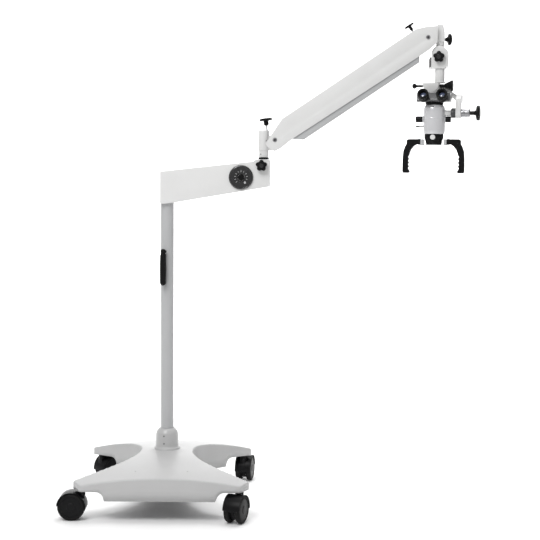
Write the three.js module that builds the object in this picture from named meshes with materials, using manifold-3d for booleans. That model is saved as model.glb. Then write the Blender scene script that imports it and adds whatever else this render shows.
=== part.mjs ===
// Floor-stand operating stereo microscope: a castored base and column, a swinging lower arm,
// a balanced parallelogram spring arm, and a tilting stereo head with two hand grips.
// Millimetres, +Z up, X along the arms, -Y towards the observer.
// The origin is on the floor, at the middle of the whole outline.

import * as THREE from 'three';
import { mergeVertices } from 'three/addons/utils/BufferGeometryUtils.js';
import Module from 'manifold-3d';

const wasm = await Module();
wasm.setup();

// ---------------------------------------------------------------- driving dimensions

const gap = 0.3;                      // clearance between pieces that touch
const turnGap = 0.6;                  // radial clearance where a faceted shaft turns in a faceted bore
const facetShare = 0.62;              // thins the facets of round pieces
const columnX = -396;                 // column axis, so that the outline is centred on X = 0

// base
const baseHalfWidth = 322;            // to the outer corner of each leg end
const legEndCornerY = 276;
const legEndFrontX = 290;
const baseFrontY = 333;
const bayDepthX = 100;                // how near each side bay comes to the column axis
const bayControlY = 170;
const skirtBottom = 78;
const legUnderside = 112;
const domeTop = 198;
const domeRadius = 1550;
const coverWall = 5;
const ballastBottom = 84;
const ballastHalfX = 90;               // the ballast hangs between the bays and the castors
const ballastHalfY = 318;
const framePlateBottom = 114;
const framePlateTop = 126;

// castors
const stemX = 288;
const stemY = 286;
const archRadius = 94;
const wheelRadius = 50;
const castorTrail = 36;
const stemRadius = 8;

// column
const tubeRadius = 25;
const tubeWall = 3;
const tubeTop = 1236;
const handleBottom = 833;
const handleTop = 972;

// lower arm (heights of its side view, X from the column axis)
const armLeftX = -25;
const armRightX = 385.5;
const armHalfWidth = 38;
const armLeftBottom = 1141;
const armLeftTop = 1263;
const armRightBottom = 1208.5;
const armSeatX = 333;                 // start of the level seat for the swivel
const armSeatTop = 1311;
const panelX = 279.5;
const panelZ = 1243;
const panelRadius = 46;
const buttonX = panelX + 15;
const buttonZ = panelZ - 19.5;

// first swivel
const swivelX = 364;
const swivelTop = 1421;
const swivelRadius = 20;
const spindleRadius = 12;

// spring arm
const rearPivotX = 405.8;
const rearPivotZ = 1384;
const frontPivotX = 974.1;
const frontPivotZ = 1768.9;
const linkDrop = 28;                  // height between each upper and lower pivot
const coverHalfWidth = 32;
const cheekWall = 3;
const coverTopV = 51;                 // cover outline, measured square to the pivot line
const pinRadius = 6;
const springArmAngle = Math.atan2(frontPivotZ - rearPivotZ, frontPivotX - rearPivotX);
const springArmLength = Math.hypot(frontPivotZ - rearPivotZ, frontPivotX - rearPivotX);

// head, in its own axes: origin on the head's vertical axis, turned a little to the observer
const headX = 1024;
const headTurn = THREE.MathUtils.degToRad(-14);
const inclineZ = 1697;
const yokeHalfWidth = 30;
const yokeHalfDepth = 24;
const neckRadius = 18.6;
const tiltZ = 1488;
const opticX = -13;                   // optical axis of the microscope
const opticY = -42;
const magnifierZ = 1465;
const bodyRadius = 41.5;
const bodyBottom = 1410;
const bodyTop = 1518;
const eyeTilt = THREE.MathUtils.degToRad(25);
const eyeSpacing = 69.6;

// colours
const offWhite = { color: 0xe6e6e4, roughness: 0.45, metalness: 0.0 };
const coolGrey = { color: 0xc4c5c8, roughness: 0.4, metalness: 0.1 };
const baseGrey = { color: 0xcfcfcf, roughness: 0.5, metalness: 0.0 };
const silverWhite = { color: 0xdcdde0, roughness: 0.22, metalness: 0.2 };
const midGrey = { color: 0x77777a, roughness: 0.4, metalness: 0.3 };
const black = { color: 0x121213, roughness: 0.4, metalness: 0.0 };
const steel = { color: 0x9a9b9d, roughness: 0.3, metalness: 0.9 };
const iron = { color: 0x3a3a3c, roughness: 0.8, metalness: 0.6 };
const glassLook = { color: 0x9fb4c8, roughness: 0.05, metalness: 0.0 };

// ---------------------------------------------------------------- solids

// Facets around a round piece: the full count, thinned, and even so that it stays symmetric.
function facets(fullCount) {
  return Math.max(8, 2 * Math.round(fullCount * facetShare / 2));
}

// Turns a closed geometry into a manifold solid, facing outwards.
function solid(geometry) {
  const bare = new THREE.BufferGeometry();
  bare.setAttribute('position', geometry.getAttribute('position'));
  if (geometry.index) bare.setIndex(geometry.index);
  const merged = mergeVertices(bare, 1e-3);
  const position = merged.getAttribute('position').array;
  const triangles = [];
  let volume = 0;
  const corner = (i) => new THREE.Vector3().fromArray(position, 3 * i);
  for (let t = 0; t < merged.index.count; t += 3) {
    const [a, b, c] = [0, 1, 2].map((k) => merged.index.getX(t + k));
    if (a === b || b === c || c === a) continue;
    triangles.push(a, b, c);
    volume += corner(a).dot(corner(b).cross(corner(c)));
  }
  if (volume < 0) triangles.reverse();
  const mesh = new wasm.Mesh({
    numProp: 3,
    vertProperties: Float32Array.from(position),
    triVerts: Uint32Array.from(triangles),
  });
  return new wasm.Manifold(mesh);
}

function join(...solids) {
  return solids.reduce((whole, next) => whole.add(next));
}

function cut(body, ...tools) {
  return tools.reduce((whole, tool) => whole.subtract(tool), body);
}

function toGeometry(body) {
  const { vertProperties, triVerts } = body.getMesh();
  const geometry = new THREE.BufferGeometry();
  geometry.setAttribute('position', new THREE.BufferAttribute(vertProperties, 3));
  geometry.setIndex(new THREE.BufferAttribute(triVerts, 1));
  geometry.computeVertexNormals();
  return geometry;
}

// Solid of revolution: profile is a list of [radius, height]; the axis is +X, +Y or +Z.
function revolve(profile, segments, axis = 'z') {
  const points = profile.map(([radius, height]) => new THREE.Vector2(radius, height));
  const geometry = new THREE.LatheGeometry(points, facets(segments));
  if (axis === 'z') geometry.rotateX(Math.PI / 2);
  if (axis === 'x') geometry.rotateZ(-Math.PI / 2);
  return geometry;
}

function move(geometry, x, y, z) {
  return geometry.translate(x, y, z);
}

// Straight round bar from one height to another along an axis, with an optional bore.
function bar(radius, from, to, segments = 24, axis = 'z', bore = 0) {
  const inner = bore > 0 ? bore : 0;
  const profile = [[inner, from], [radius, from], [radius, to], [inner, to]];
  if (bore > 0) profile.push([inner, from]);
  return revolve(profile, segments, axis);
}

function box(x0, x1, y0, y1, z0, z1) {
  const geometry = new THREE.BoxGeometry(x1 - x0, y1 - y0, z1 - z0);
  return move(geometry, (x0 + x1) / 2, (y0 + y1) / 2, (z0 + z1) / 2);
}

// A side-view outline in X and Z, made thick along Y.
function sidePlate(shape, y0, y1, curveSegments = 8) {
  const geometry = new THREE.ExtrudeGeometry(shape, {
    depth: y1 - y0, bevelEnabled: false, curveSegments,
  });
  geometry.rotateX(Math.PI / 2);
  return move(geometry, 0, y1, 0);
}

// A side-view outline in Y and Z, made thick along X.
function crossPlate(shape, x0, x1, curveSegments = 8) {
  const geometry = new THREE.ExtrudeGeometry(shape, {
    depth: x1 - x0, bevelEnabled: false, curveSegments,
  });
  geometry.rotateX(Math.PI / 2);
  geometry.rotateZ(Math.PI / 2);
  return move(geometry, x0, 0, 0);
}

function polygon(points) {
  return new THREE.Shape(points.map(([u, v]) => new THREE.Vector2(u, v)));
}

function disc(u, v, radius) {
  const shape = new THREE.Shape();
  shape.absarc(u, v, radius, 0, 2 * Math.PI, false);
  return shape;
}

const object = new THREE.Group();
const stand = new THREE.Group();
stand.position.x = columnX;
object.add(stand);
const head = new THREE.Group();
head.position.x = headX;
head.rotation.z = headTurn;
stand.add(head);

function add(name, body, look, parent = stand) {
  const geometry = body.getMesh ? toGeometry(body) : body;
  const mesh = new THREE.Mesh(geometry, new THREE.MeshStandardMaterial(look));
  mesh.name = name;
  parent.add(mesh);
  return mesh;
}

// ---------------------------------------------------------------- base

// Plan of the cross-shaped base: straight front and back, a round bay at each side.
function basePlan(inset) {
  const frontY = baseFrontY - inset;
  const endX = legEndFrontX - inset * 0.6;
  const cornerX = baseHalfWidth - inset * 1.1;
  const cornerY = legEndCornerY + inset * 0.3;
  const bayX = bayDepthX - inset;
  const controlY = bayControlY + inset * 0.5;
  const plan = new THREE.Shape();
  plan.moveTo(-endX, -frontY);
  plan.lineTo(endX, -frontY);
  plan.lineTo(cornerX, -cornerY);
  plan.quadraticCurveTo(bayX, -controlY, bayX, 0);
  plan.quadraticCurveTo(bayX, controlY, cornerX, cornerY);
  plan.lineTo(endX, frontY);
  plan.lineTo(-endX, frontY);
  plan.lineTo(-cornerX, cornerY);
  plan.quadraticCurveTo(-bayX, controlY, -bayX, 0);
  plan.quadraticCurveTo(-bayX, -controlY, -cornerX, -cornerY);
  plan.closePath();
  return plan;
}

function planPrism(inset, z0, z1) {
  const geometry = new THREE.ExtrudeGeometry(basePlan(inset), {
    depth: z1 - z0, bevelEnabled: false, curveSegments: 6,
  });
  return solid(move(geometry, 0, 0, z0));
}

function underDome(top, bottom) {
  const rimRadius = 470;
  const rings = 5;
  const profile = [[0, bottom], [rimRadius, bottom]];
  for (let i = rings; i >= 0; i -= 1) {
    const radius = (rimRadius * i) / rings;
    const drop = domeRadius - Math.sqrt(domeRadius ** 2 - radius ** 2);
    profile.push([radius, top - drop]);
  }
  return solid(revolve(profile, 48));
}

const castorCorners = [
  { name: 'front_left', x: -stemX, y: -stemY, trail: 180 },
  { name: 'front_right', x: stemX, y: -stemY, trail: -111 },
  { name: 'rear_right', x: stemX, y: stemY, trail: 80 },
  { name: 'rear_left', x: -stemX, y: stemY, trail: 48 },
];

function castorArches(radius, bottom, top) {
  return castorCorners.map(({ x, y }) => (
    solid(move(bar(radius, bottom, top, 28), x, y, 0))
  ));
}

function baseCover() {
  const outer = planPrism(0, skirtBottom, domeTop + 5).intersect(underDome(domeTop, 60));
  const inner = planPrism(coverWall, 50, domeTop + 5)
    .intersect(underDome(domeTop - coverWall, 40));
  const columnHole = solid(bar(tubeRadius + 1.5, 150, 220));
  return cut(outer, inner, columnHole, ...castorArches(archRadius, 60, legUnderside));
}

// One heavy casting: a plate that takes the castor stems, and ballast hanging below it.
function baseCasting() {
  const plate = planPrism(coverWall + 4, framePlateBottom, framePlateTop);
  const ballast = solid(box(
    -ballastHalfX, ballastHalfX, -ballastHalfY, ballastHalfY, ballastBottom, framePlateBottom + 1,
  ));
  return cut(join(plate, ballast), ...castorArches(stemRadius + 0.4, 100, 140));
}

add('base_cover', baseCover(), baseGrey);
add('base_casting', baseCasting(), iron);

// ---------------------------------------------------------------- castors

function castorYoke() {
  const webHalf = 9;
  const stem = solid(bar(stemRadius, 84, framePlateTop - 1, 20));
  const web = solid(sidePlate(disc(castorTrail, wheelRadius, 40), -webHalf, webHalf, 8));
  const strut = solid(sidePlate(polygon([[-8, 62], [20, 62], [20, 96], [-8, 96]]), -webHalf, webHalf));
  const fender = new THREE.Shape();
  fender.absarc(castorTrail, wheelRadius, 55, 0.35, Math.PI * 0.93, false);
  fender.absarc(castorTrail, wheelRadius, 52, Math.PI * 0.93, 0.35, true);
  fender.closePath();
  const spine = polygon([[castorTrail - 6, 85], [castorTrail + 6, 85], [castorTrail + 6, 103],
    [castorTrail - 6, 103]]);
  const axleHole = solid(move(bar(5.4, -20, 20, 16, 'y'), castorTrail, 0, wheelRadius));
  return cut(
    join(stem, web, strut, solid(sidePlate(fender, -32, 32, 7)), solid(sidePlate(spine, -webHalf, webHalf))),
    axleHole,
  );
}

function castorWheels() {
  const half = [[5, 10], [45, 10], [wheelRadius, 15], [wheelRadius, 28], [44, 33], [0, 33]];
  const mirrored = half.map(([radius, side]) => [radius, -side]).reverse();
  const geometry = revolve([...mirrored, ...half], 38, 'y');
  return move(geometry, castorTrail, 0, wheelRadius);
}

for (const corner of castorCorners) {
  const castor = new THREE.Group();
  castor.position.set(corner.x, corner.y, 0);
  castor.rotation.z = THREE.MathUtils.degToRad(corner.trail);
  stand.add(castor);
  add(`castor_yoke_${corner.name}`, castorYoke(), black, castor);
  add(`castor_wheels_${corner.name}`, castorWheels(), black, castor);
}

// ---------------------------------------------------------------- column

function columnCollar() {
  const bore = tubeRadius + gap;
  return revolve([
    [bore, domeTop + 1], [51, domeTop + 1], [50, 206], [45, 211], [43, 216], [43, 258],
    [40, 270], [34, 279], [30, 282], [bore, 282], [bore, domeTop + 1],
  ], 32);
}

function columnHandle() {
  const gripY = -44;
  const grip = solid(revolve([
    [0, handleBottom], [7, handleBottom + 2], [12, handleBottom + 9], [12.4, handleBottom + 60],
    [11.5, handleTop - 26], [9.5, handleTop - 18], [10, handleTop - 8], [8, handleTop - 1], [0, handleTop],
  ], 16));
  const foot = (z) => solid(box(-6, 6, -gripY - tubeRadius - 0.8 - 22, -gripY - tubeRadius - 0.8, z, z + 14));
  const handle = join(grip, foot(handleBottom + 12), foot(handleTop - 18));
  return handle.translate([0, gripY, 0]).rotate([0, 0, -17]);
}

add('column_tube', bar(tubeRadius, framePlateTop + gap, tubeTop, 32, 'z', tubeRadius - tubeWall), coolGrey);
add('column_collar', columnCollar(), offWhite);
add('column_handle', columnHandle(), black);

// ---------------------------------------------------------------- lower arm

function lowerArmProfile(inset) {
  return polygon([
    [armLeftX + inset, armLeftBottom + inset], [30, armLeftBottom + 5.5 + inset],
    [armRightX - inset, armRightBottom + inset], [armRightX - inset, armSeatTop - inset],
    [armSeatX, armSeatTop - inset], [armSeatX - 6, 1303 - inset],
    [armLeftX + inset, armLeftTop - inset],
  ]);
}

function buttonHole() {
  return solid(move(bar(5, -60, -20, 14, 'y'), buttonX, 0, buttonZ));
}

function lowerArmHousing() {
  const body = solid(sidePlate(lowerArmProfile(0), -armHalfWidth, armHalfWidth));
  const cavity = solid(sidePlate(polygon([
    [46, 1144], [335, 1195], [335, 1296], [46, 1266],
  ]), -armHalfWidth + 4, armHalfWidth - 4));
  const columnBore = solid(bar(tubeRadius + turnGap, 1100, tubeTop + 2, 32));
  const spindleBore = solid(move(bar(spindleRadius + turnGap, 1238, 1330, 20), swivelX, 0, 0));
  const lockHole = solid(move(bar(4.4, -60, -spindleRadius - 2, 12, 'y'), 356, 0, 1286));
  const knobHole = solid(move(bar(4.4, -60, -20, 12, 'y'), panelX, 0, panelZ));
  const bottomOpening = solid(sidePlate(polygon([
    [46, 1100], [335, 1100], [335, 1205], [46, 1154],
  ]), -armHalfWidth + 4, armHalfWidth - 4));
  return cut(body, cavity, bottomOpening, columnBore, spindleBore, lockHole, knobHole, buttonHole());
}

function lowerArmBottomCover() {
  const slope = (armRightBottom - armLeftBottom - 5.5) / (armRightX - 30);
  const bottomAt = (x) => armLeftBottom + 5.5 + (x - 30) * slope;
  const [x0, x1] = [46 + gap, 335 - gap];
  const outline = polygon([
    [x0, bottomAt(x0) + 0.5], [x1, bottomAt(x1) + 0.5],
    [x1, bottomAt(x1) + 3.5], [x0, bottomAt(x0) + 3.5],
  ]);
  return sidePlate(outline, -armHalfWidth + 4 + gap, armHalfWidth - 4 - gap);
}

function controlPanel() {
  const face = -armHalfWidth;
  const plate = solid(revolve([
    [14, -9], [42, -9], [panelRadius, -6], [panelRadius, -gap], [14, -gap], [14, -9],
  ], 36, 'y')).translate([panelX, face, panelZ]);
  return cut(plate, buttonHole());
}

function starKnob(lobes, radius, depth) {
  const shape = new THREE.Shape();
  const steps = lobes * 6;
  for (let i = 0; i < steps; i += 1) {
    const angle = Math.PI / 2 + (2 * Math.PI * i) / steps;
    const reach = radius * (0.87 + 0.13 * Math.cos(lobes * (angle - Math.PI / 2)));
    const point = [reach * Math.cos(angle), reach * Math.sin(angle)];
    if (i === 0) shape.moveTo(...point);
    else shape.lineTo(...point);
  }
  shape.closePath();
  const hub = solid(bar(9, -1, 8, 16, 'y'));
  return join(solid(sidePlate(shape, -depth, 0)), hub);
}

add('lower_arm_housing', lowerArmHousing(), offWhite);
add('lower_arm_bottom_cover', lowerArmBottomCover(), offWhite);
add('lower_arm_end_plate', box(
  armRightX + gap, armRightX + gap + 3, -armHalfWidth, armHalfWidth, armRightBottom + 1, armSeatTop - 1,
), coolGrey);
add('control_panel', controlPanel(), black);
add('brightness_knob', move(
  revolve([[0, -14], [10, -14], [12, -11], [12, -1], [4, -1], [4, 12], [0, 12]], 20, 'y'),
  panelX, -armHalfWidth, panelZ,
), black);
add('power_button', move(bar(4.5, -12.5, 9, 14, 'y'), buttonX, -armHalfWidth, buttonZ), coolGrey);
add('power_supply', box(120, 230, -26, 26, 1190, 1250), steel);
const lockKnob = join(
  starKnob(5, 22, 14).translate([0, -8, 0]),
  solid(bar(4, -2, 20, 12, 'y')),
);
add('swivel_lock_knob', lockKnob.translate([356, -armHalfWidth - 1.5, 1286]), black);

// ---------------------------------------------------------------- first swivel

function swivelHead() {
  const post = solid(move(revolve([
    [0, 1344], [swivelRadius, 1344], [swivelRadius, swivelTop - 3], [swivelRadius - 3, swivelTop],
    [0, swivelTop],
  ], 28), swivelX, 0, 0));
  const ring = solid(move(bar(18.5, 1319, 1345, 28), swivelX, 0, 0));
  const spindle = solid(move(bar(spindleRadius, 1240, 1320, 20), swivelX, 0, 0));
  const tongueShape = new THREE.Shape();
  tongueShape.moveTo(swivelX, 1346);
  tongueShape.lineTo(rearPivotX, 1346);
  tongueShape.absarc(rearPivotX, rearPivotZ - linkDrop, 13, -Math.PI / 2, 0, false);
  tongueShape.lineTo(rearPivotX + 16, rearPivotZ);
  tongueShape.absarc(rearPivotX, rearPivotZ, 16, 0, Math.PI / 2, false);
  tongueShape.lineTo(swivelX, rearPivotZ + 20);
  tongueShape.closePath();
  const tongue = solid(sidePlate(tongueShape, -9, 9));
  const linkPin = solid(move(bar(4, 8, 18, 12, 'y'), rearPivotX, 0, rearPivotZ - linkDrop));
  const pinHole = solid(move(bar(pinRadius + turnGap, -30, 30, 16, 'y'), rearPivotX, 0, rearPivotZ));
  const brakeHole = solid(bar(3, -30, 20, 12)).rotate([0, -7, 0]).translate([376, 0, swivelTop]);
  return cut(join(post, ring, spindle, tongue, linkPin), pinHole, brakeHole);
}

function brakeKnob() {
  const knob = solid(revolve([
    [0, -20], [2.6, -20], [2.6, 16], [6, 18], [9.5, 22], [9.5, 34], [24.6, 36], [24.6, 42], [20, 46],
    [0, 46],
  ], 24));
  return knob.rotate([0, -7, 0]).translate([376, 0, swivelTop]);
}

function swivelWasher() {
  const ring = bar(20.3, armSeatTop + gap, 1319 - gap, 28, 'z', spindleRadius + turnGap);
  return move(ring, swivelX, 0, 0);
}

add('swivel_washer', swivelWasher(), black);
add('swivel_head', swivelHead(), offWhite);
add('lift_brake_knob', brakeKnob(), black);

// ---------------------------------------------------------------- spring arm

// The arm is drawn along its pivot line: U from the rear pivot, V square to it, up.
function placeOnArm(body) {
  return body
    .rotate([0, -THREE.MathUtils.radToDeg(springArmAngle), 0])
    .translate([rearPivotX, 0, rearPivotZ]);
}

function coverOutline(inset) {
  const end = springArmLength;
  const shape = new THREE.Shape();
  const lead = Math.PI * 0.93;
  shape.absarc(0, 0, 38 - inset, lead, Math.PI * 1.56, false);
  shape.lineTo(60, -33 + inset);
  shape.lineTo(end - 22, -41 + inset);
  shape.lineTo(end + 19 - inset, -35 + inset);
  shape.lineTo(end + 53 - inset, 15);
  shape.lineTo(end + 19, 35 - inset);
  shape.lineTo(end - 19, coverTopV - 1 - inset);
  shape.lineTo(end - 33, coverTopV - inset);
  shape.lineTo(66, coverTopV - inset);
  shape.lineTo(46, coverTopV - 8 - inset);
  shape.closePath();
  return shape;
}

function springArmCover() {
  const end = springArmLength;
  const outer = solid(sidePlate(coverOutline(0), -coverHalfWidth, coverHalfWidth, 8));
  const half = coverHalfWidth - cheekWall;
  const hollow = solid(sidePlate(polygon([
    [-60, -60], [end + 70, -60], [end + 70, 30], [end + 16, 32], [end - 21, coverTopV - 4],
    [end - 34, coverTopV - 3], [66, coverTopV - 3], [62, 80], [-60, 80],
  ]), -half, half));
  const headSlot = solid(box(end + 8, end + 90, -19, 19, -20, 70));
  const pinHoles = [0, end].map((u) => solid(move(bar(pinRadius + turnGap, -50, 50, 16, 'y'), u, 0, 0)));
  const tensionHole = solid(move(bar(4.4, 20, 70, 12), end - 31, 0, 0));
  return placeOnArm(cut(outer, hollow, headSlot, ...pinHoles, tensionHole));
}

function springArmRail() {
  const railEnd = springArmLength - 61;
  const half = coverHalfWidth - cheekWall - 2;
  const outer = solid(sidePlate(polygon([
    [58, -36], [92, -60], [railEnd - 15, -60], [railEnd, -36],
  ]), -half, half));
  const hollow = solid(sidePlate(polygon([
    [40, -20], [40, -57.5], [railEnd + 20, -57.5], [railEnd + 20, -20],
  ]), -half + 2.5, half - 2.5));
  return placeOnArm(cut(outer, hollow));
}

function balanceSpring() {
  const profile = [];
  const turns = 9;
  const pitch = 430 / turns;
  for (let i = 0; i < turns; i += 1) {
    profile.push([14, 120 + i * pitch], [18, 120 + (i + 0.5) * pitch]);
  }
  profile.push([14, 550]);
  const closed = [[9, 120], ...profile, [9, 550], [9, 120]];
  return placeOnArm(solid(revolve(closed, 14, 'x')).translate([0, 0, 12]));
}

function tensionKnob() {
  const knob = solid(revolve([
    [0, 44], [4, 44], [4, 54], [6, 56], [6, 70], [19, 72], [19, 77], [16, 79.5], [0, 79.5],
  ], 20));
  return placeOnArm(knob.translate([springArmLength - 31, 0, 0]));
}

function pivotPin(x, z) {
  return move(revolve([
    [0, -34], [8, -34], [8, -32.3], [pinRadius, -32.3], [pinRadius, 32.3], [8, 32.3], [8, 34], [0, 34],
  ], 16, 'y'), x, 0, z);
}

function parallelLink() {
  const eye = (u) => solid(move(bar(9, 9.6, 15.6, 18, 'y'), u, 0, 0));
  const rod = solid(box(0, springArmLength, 9.6, 15.6, -5.5, 5.5));
  const hole = (u) => solid(move(bar(4.5, 0, 30, 12, 'y'), u, 0, 0));
  const link = cut(join(eye(0), eye(springArmLength), rod), hole(0), hole(springArmLength));
  return placeOnArm(link).translate([0, 0, -linkDrop]);
}

add('spring_arm_cover', springArmCover(), offWhite);
add('spring_arm_rail', springArmRail(), coolGrey);
add('balance_spring', balanceSpring(), steel);
add('spring_tension_knob', tensionKnob(), black);
add('rear_pivot_pin', pivotPin(rearPivotX, rearPivotZ), steel);
add('front_pivot_pin', pivotPin(frontPivotX, frontPivotZ), steel);
add('parallel_link', parallelLink(), steel);

// ---------------------------------------------------------------- end housing

function endHousing() {
  const blockShape = polygon([
    [headX - 13, 1753.3], [headX + 15, 1753.3], [headX + 14.5, 1790], [headX + 8, 1816],
    [headX + 4, 1818], [headX - 13, 1818],
  ]);
  const block = solid(sidePlate(blockShape, -15, 15));
  const arm = new THREE.Shape();
  arm.moveTo(headX - 8, 1792);
  arm.lineTo(frontPivotX, 1792.9);
  arm.absarc(frontPivotX, frontPivotZ, 24, Math.PI / 2, Math.PI, false);
  arm.lineTo(frontPivotX - 13, frontPivotZ - linkDrop);
  arm.absarc(frontPivotX, frontPivotZ - linkDrop, 13, Math.PI, Math.PI * 1.5, false);
  arm.lineTo(frontPivotX + 8, frontPivotZ - linkDrop - 13);
  arm.lineTo(headX - 22, 1754);
  arm.lineTo(headX - 8, 1754);
  arm.closePath();
  const tongue = solid(sidePlate(arm, -9, 9));
  const linkPin = solid(move(bar(4, 8, 18, 12, 'y'), frontPivotX, 0, frontPivotZ - linkDrop));
  const pinHole = solid(move(bar(pinRadius + turnGap, -30, 30, 16, 'y'), frontPivotX, 0, frontPivotZ));
  const spindleBore = solid(move(bar(8.4, 1740, 1806, 18), headX, 0, 0));
  const lockHole = solid(move(bar(4.4, 9, 30, 12, 'x'), headX, 0, 1764));
  return cut(join(block, tongue, linkPin), pinHole, spindleBore, lockHole);
}

add('end_housing', endHousing(), offWhite);
add('head_lock_knob', move(revolve([
  [0, 10], [4, 10], [4, 17], [7, 18], [8, 24], [14, 27], [21.8, 30], [21.8, 37], [16, 43], [0, 45],
], 22, 'x'), headX, 0, 1764), black);

// ---------------------------------------------------------------- inclining head yoke

function yawFork() {
  const spindle = solid(bar(8, 1745, 1800, 18));
  const ring = solid(bar(15.8, 1740, 1752.9, 24));
  const tongueShape = new THREE.Shape();
  tongueShape.moveTo(15, 1741);
  tongueShape.lineTo(-15, 1741);
  tongueShape.lineTo(-15, inclineZ + 12);
  tongueShape.absarc(0, inclineZ, 19, Math.PI * 0.8, Math.PI * 2.2, false);
  tongueShape.lineTo(15, inclineZ + 12);
  tongueShape.closePath();
  const tongue = solid(sidePlate(tongueShape, -10, 10));
  const knobHole = solid(move(bar(5.4, -30, 30, 16, 'y'), 0, 0, inclineZ));
  return cut(join(spindle, ring, tongue), knobHole);
}

function inclinationHousing() {
  const outline = new THREE.Shape();
  outline.moveTo(-yokeHalfWidth, 1659);
  outline.lineTo(yokeHalfWidth, 1659);
  outline.lineTo(yokeHalfWidth, 1709);
  outline.absarc(0, 1709, yokeHalfWidth, 0, Math.PI, false);
  outline.closePath();
  const body = solid(sidePlate(outline, -yokeHalfDepth, yokeHalfDepth, 10));
  const slot = solid(box(-60, 60, -10.4, 10.4, 1668, 1760));
  const ledge = solid(box(-42, 23, -yokeHalfDepth, yokeHalfDepth, 1654, 1660));
  const fin = solid(box(-42, -38, -14, 18, 1655, 1690));
  const finFoot = solid(box(-42, -28, 12, 18, 1655, 1700));
  const boltHole = solid(move(bar(5.4, -60, 60, 16, 'y'), 0, 0, inclineZ));
  return cut(join(body, ledge, fin, finFoot), slot, boltHole);
}

function inclineKnob() {
  const knob = starKnob(5, 21.5, 15).translate([0, -8, 0]);
  const bolt = solid(bar(5, -2, 46, 14, 'y'));
  return join(knob, bolt).translate([0, -yokeHalfDepth - 1.5, inclineZ]);
}

function neckCarrier() {
  const outline = new THREE.Shape();
  outline.moveTo(-62, 1602.7);
  outline.absarc(-31, 1598, 30.5, Math.PI, 2 * Math.PI, false);
  outline.lineTo(-0.5, 1602.7);
  outline.closePath();
  const block = solid(sidePlate(outline, -18, 24, 10));
  const neck = solid(bar(neckRadius, 1599.5, 1654 - gap, 28));
  const neckBore = solid(bar(neckRadius - 3, 1604, 1670, 24));
  const shaftHole = solid(move(bar(4.4, -80, 5, 12, 'x'), 0, 0, 1591));
  return cut(join(block, neck), neckBore, shaftHole);
}

add('yaw_fork', yawFork(), offWhite, head);
add('inclination_housing', inclinationHousing(), offWhite, head);
add('inclination_knob', inclineKnob(), black, head);
add('neck_carrier', neckCarrier(), offWhite, head);
add('carrier_release_knob', move(revolve([
  [0, -103], [7, -102], [10, -97], [10, -93], [7, -88], [4.5, -86], [4.5, -70], [4, -68], [4, -50],
  [0, -50],
], 16, 'x'), 0, 0, 1591), black, head);
add('carrier_clamp_knob', move(revolve([
  [0, -30], [4, -30], [4, 0.5], [7, 0.8], [7, 19], [9.5, 21], [20, 43], [21.5, 44], [21.5, 49],
  [18, 51], [0, 51],
], 22, 'x'), 0, 0, 1591), black, head);

// ---------------------------------------------------------------- tilt bracket and drive

function tiltBracket() {
  const back = solid(sidePlate(polygon([
    [-50, 1552], [46, 1548], [60, 1535], [87, 1535], [87, 1548], [80, 1557], [64, 1558],
    [-5, 1600], [-50, 1600],
  ]), 24.3, 34));
  const legShape = new THREE.Shape();
  legShape.moveTo(34, 1535);
  legShape.lineTo(34, 1557);
  legShape.lineTo(-30, 1557);
  legShape.lineTo(-60, 1540);
  legShape.lineTo(opticY - 20, tiltZ);
  legShape.absarc(opticY, tiltZ, 20, Math.PI, 2 * Math.PI, false);
  legShape.lineTo(opticY + 22, 1525);
  legShape.closePath();
  const leg = solid(crossPlate(legShape, 67, 87, 10));
  const shaftHole = solid(move(bar(8.4, 50, 100, 18, 'x'), 0, opticY, tiltZ));
  return cut(join(back, leg), shaftHole);
}

function onTiltAxis(geometry) {
  return move(geometry, 0, opticY, tiltZ);
}

add('tilt_bracket', tiltBracket(), offWhite, head);
add('tilt_friction_collar', onTiltAxis(bar(18.5, 49.9, 67 - gap, 24, 'x', 8.4)), midGrey, head);
add('tilt_drive_housing', onTiltAxis(revolve([
  [8.4, 87.3], [14, 87.3], [15.1, 89], [15.1, 117], [13, 120.5], [8.4, 120.5], [8.4, 87.3],
], 26, 'x')), steel, head);
add('tilt_knob', onTiltAxis(revolve([
  [0, 121], [7.6, 121], [7.6, 137], [12, 141], [26, 143], [28.3, 146], [28.3, 153], [24, 157.5], [0, 157.5],
], 28, 'x')), black, head);

// ---------------------------------------------------------------- microscope body

function onOpticAxis(geometry) {
  return move(geometry, opticX, opticY, 0);
}

function scopeBody() {
  const shell = solid(onOpticAxis(revolve([
    [32, bodyBottom], [39.5, bodyBottom], [bodyRadius, 1422], [bodyRadius, 1498], [39.5, 1508],
    [34, bodyTop],
    [22, bodyTop], [22, 1506], [32, 1498], [32, bodyBottom],
  ], 36)));
  const boss = solid(onTiltAxis(bar(10.8, 12, 49.6, 20, 'x')));
  const shaft = solid(onTiltAxis(bar(8, 40, 119, 18, 'x')));
  const inside = solid(onOpticAxis(bar(33, 1460, 1510, 36)));
  const knobHole = solid(move(bar(6.9, -80, 80, 16, 'x'), opticX, opticY, magnifierZ));
  const leverHole = solid(move(bar(3.6, -80, 0, 12, 'x'), opticX, opticY, 1439));
  return cut(join(shell, cut(boss, inside), shaft), knobHole, leverHole);
}

function magnificationDrum() {
  return move(revolve([
    [0, -43], [6.3, -43], [6.3, -23], [20, -22], [20, 22], [6.3, 23], [6.3, 43], [0, 43],
  ], 24, 'x'), opticX, opticY, magnifierZ);
}

function magnificationKnob(side, reach) {
  const knob = revolve([
    [0, 43.3], [10, 43.3], [11.2, 45], [11.2, reach - 2], [10, reach], [0, reach],
  ], 20, 'x');
  if (side < 0) knob.rotateZ(Math.PI);
  return move(knob, opticX, opticY, magnifierZ);
}

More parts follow.
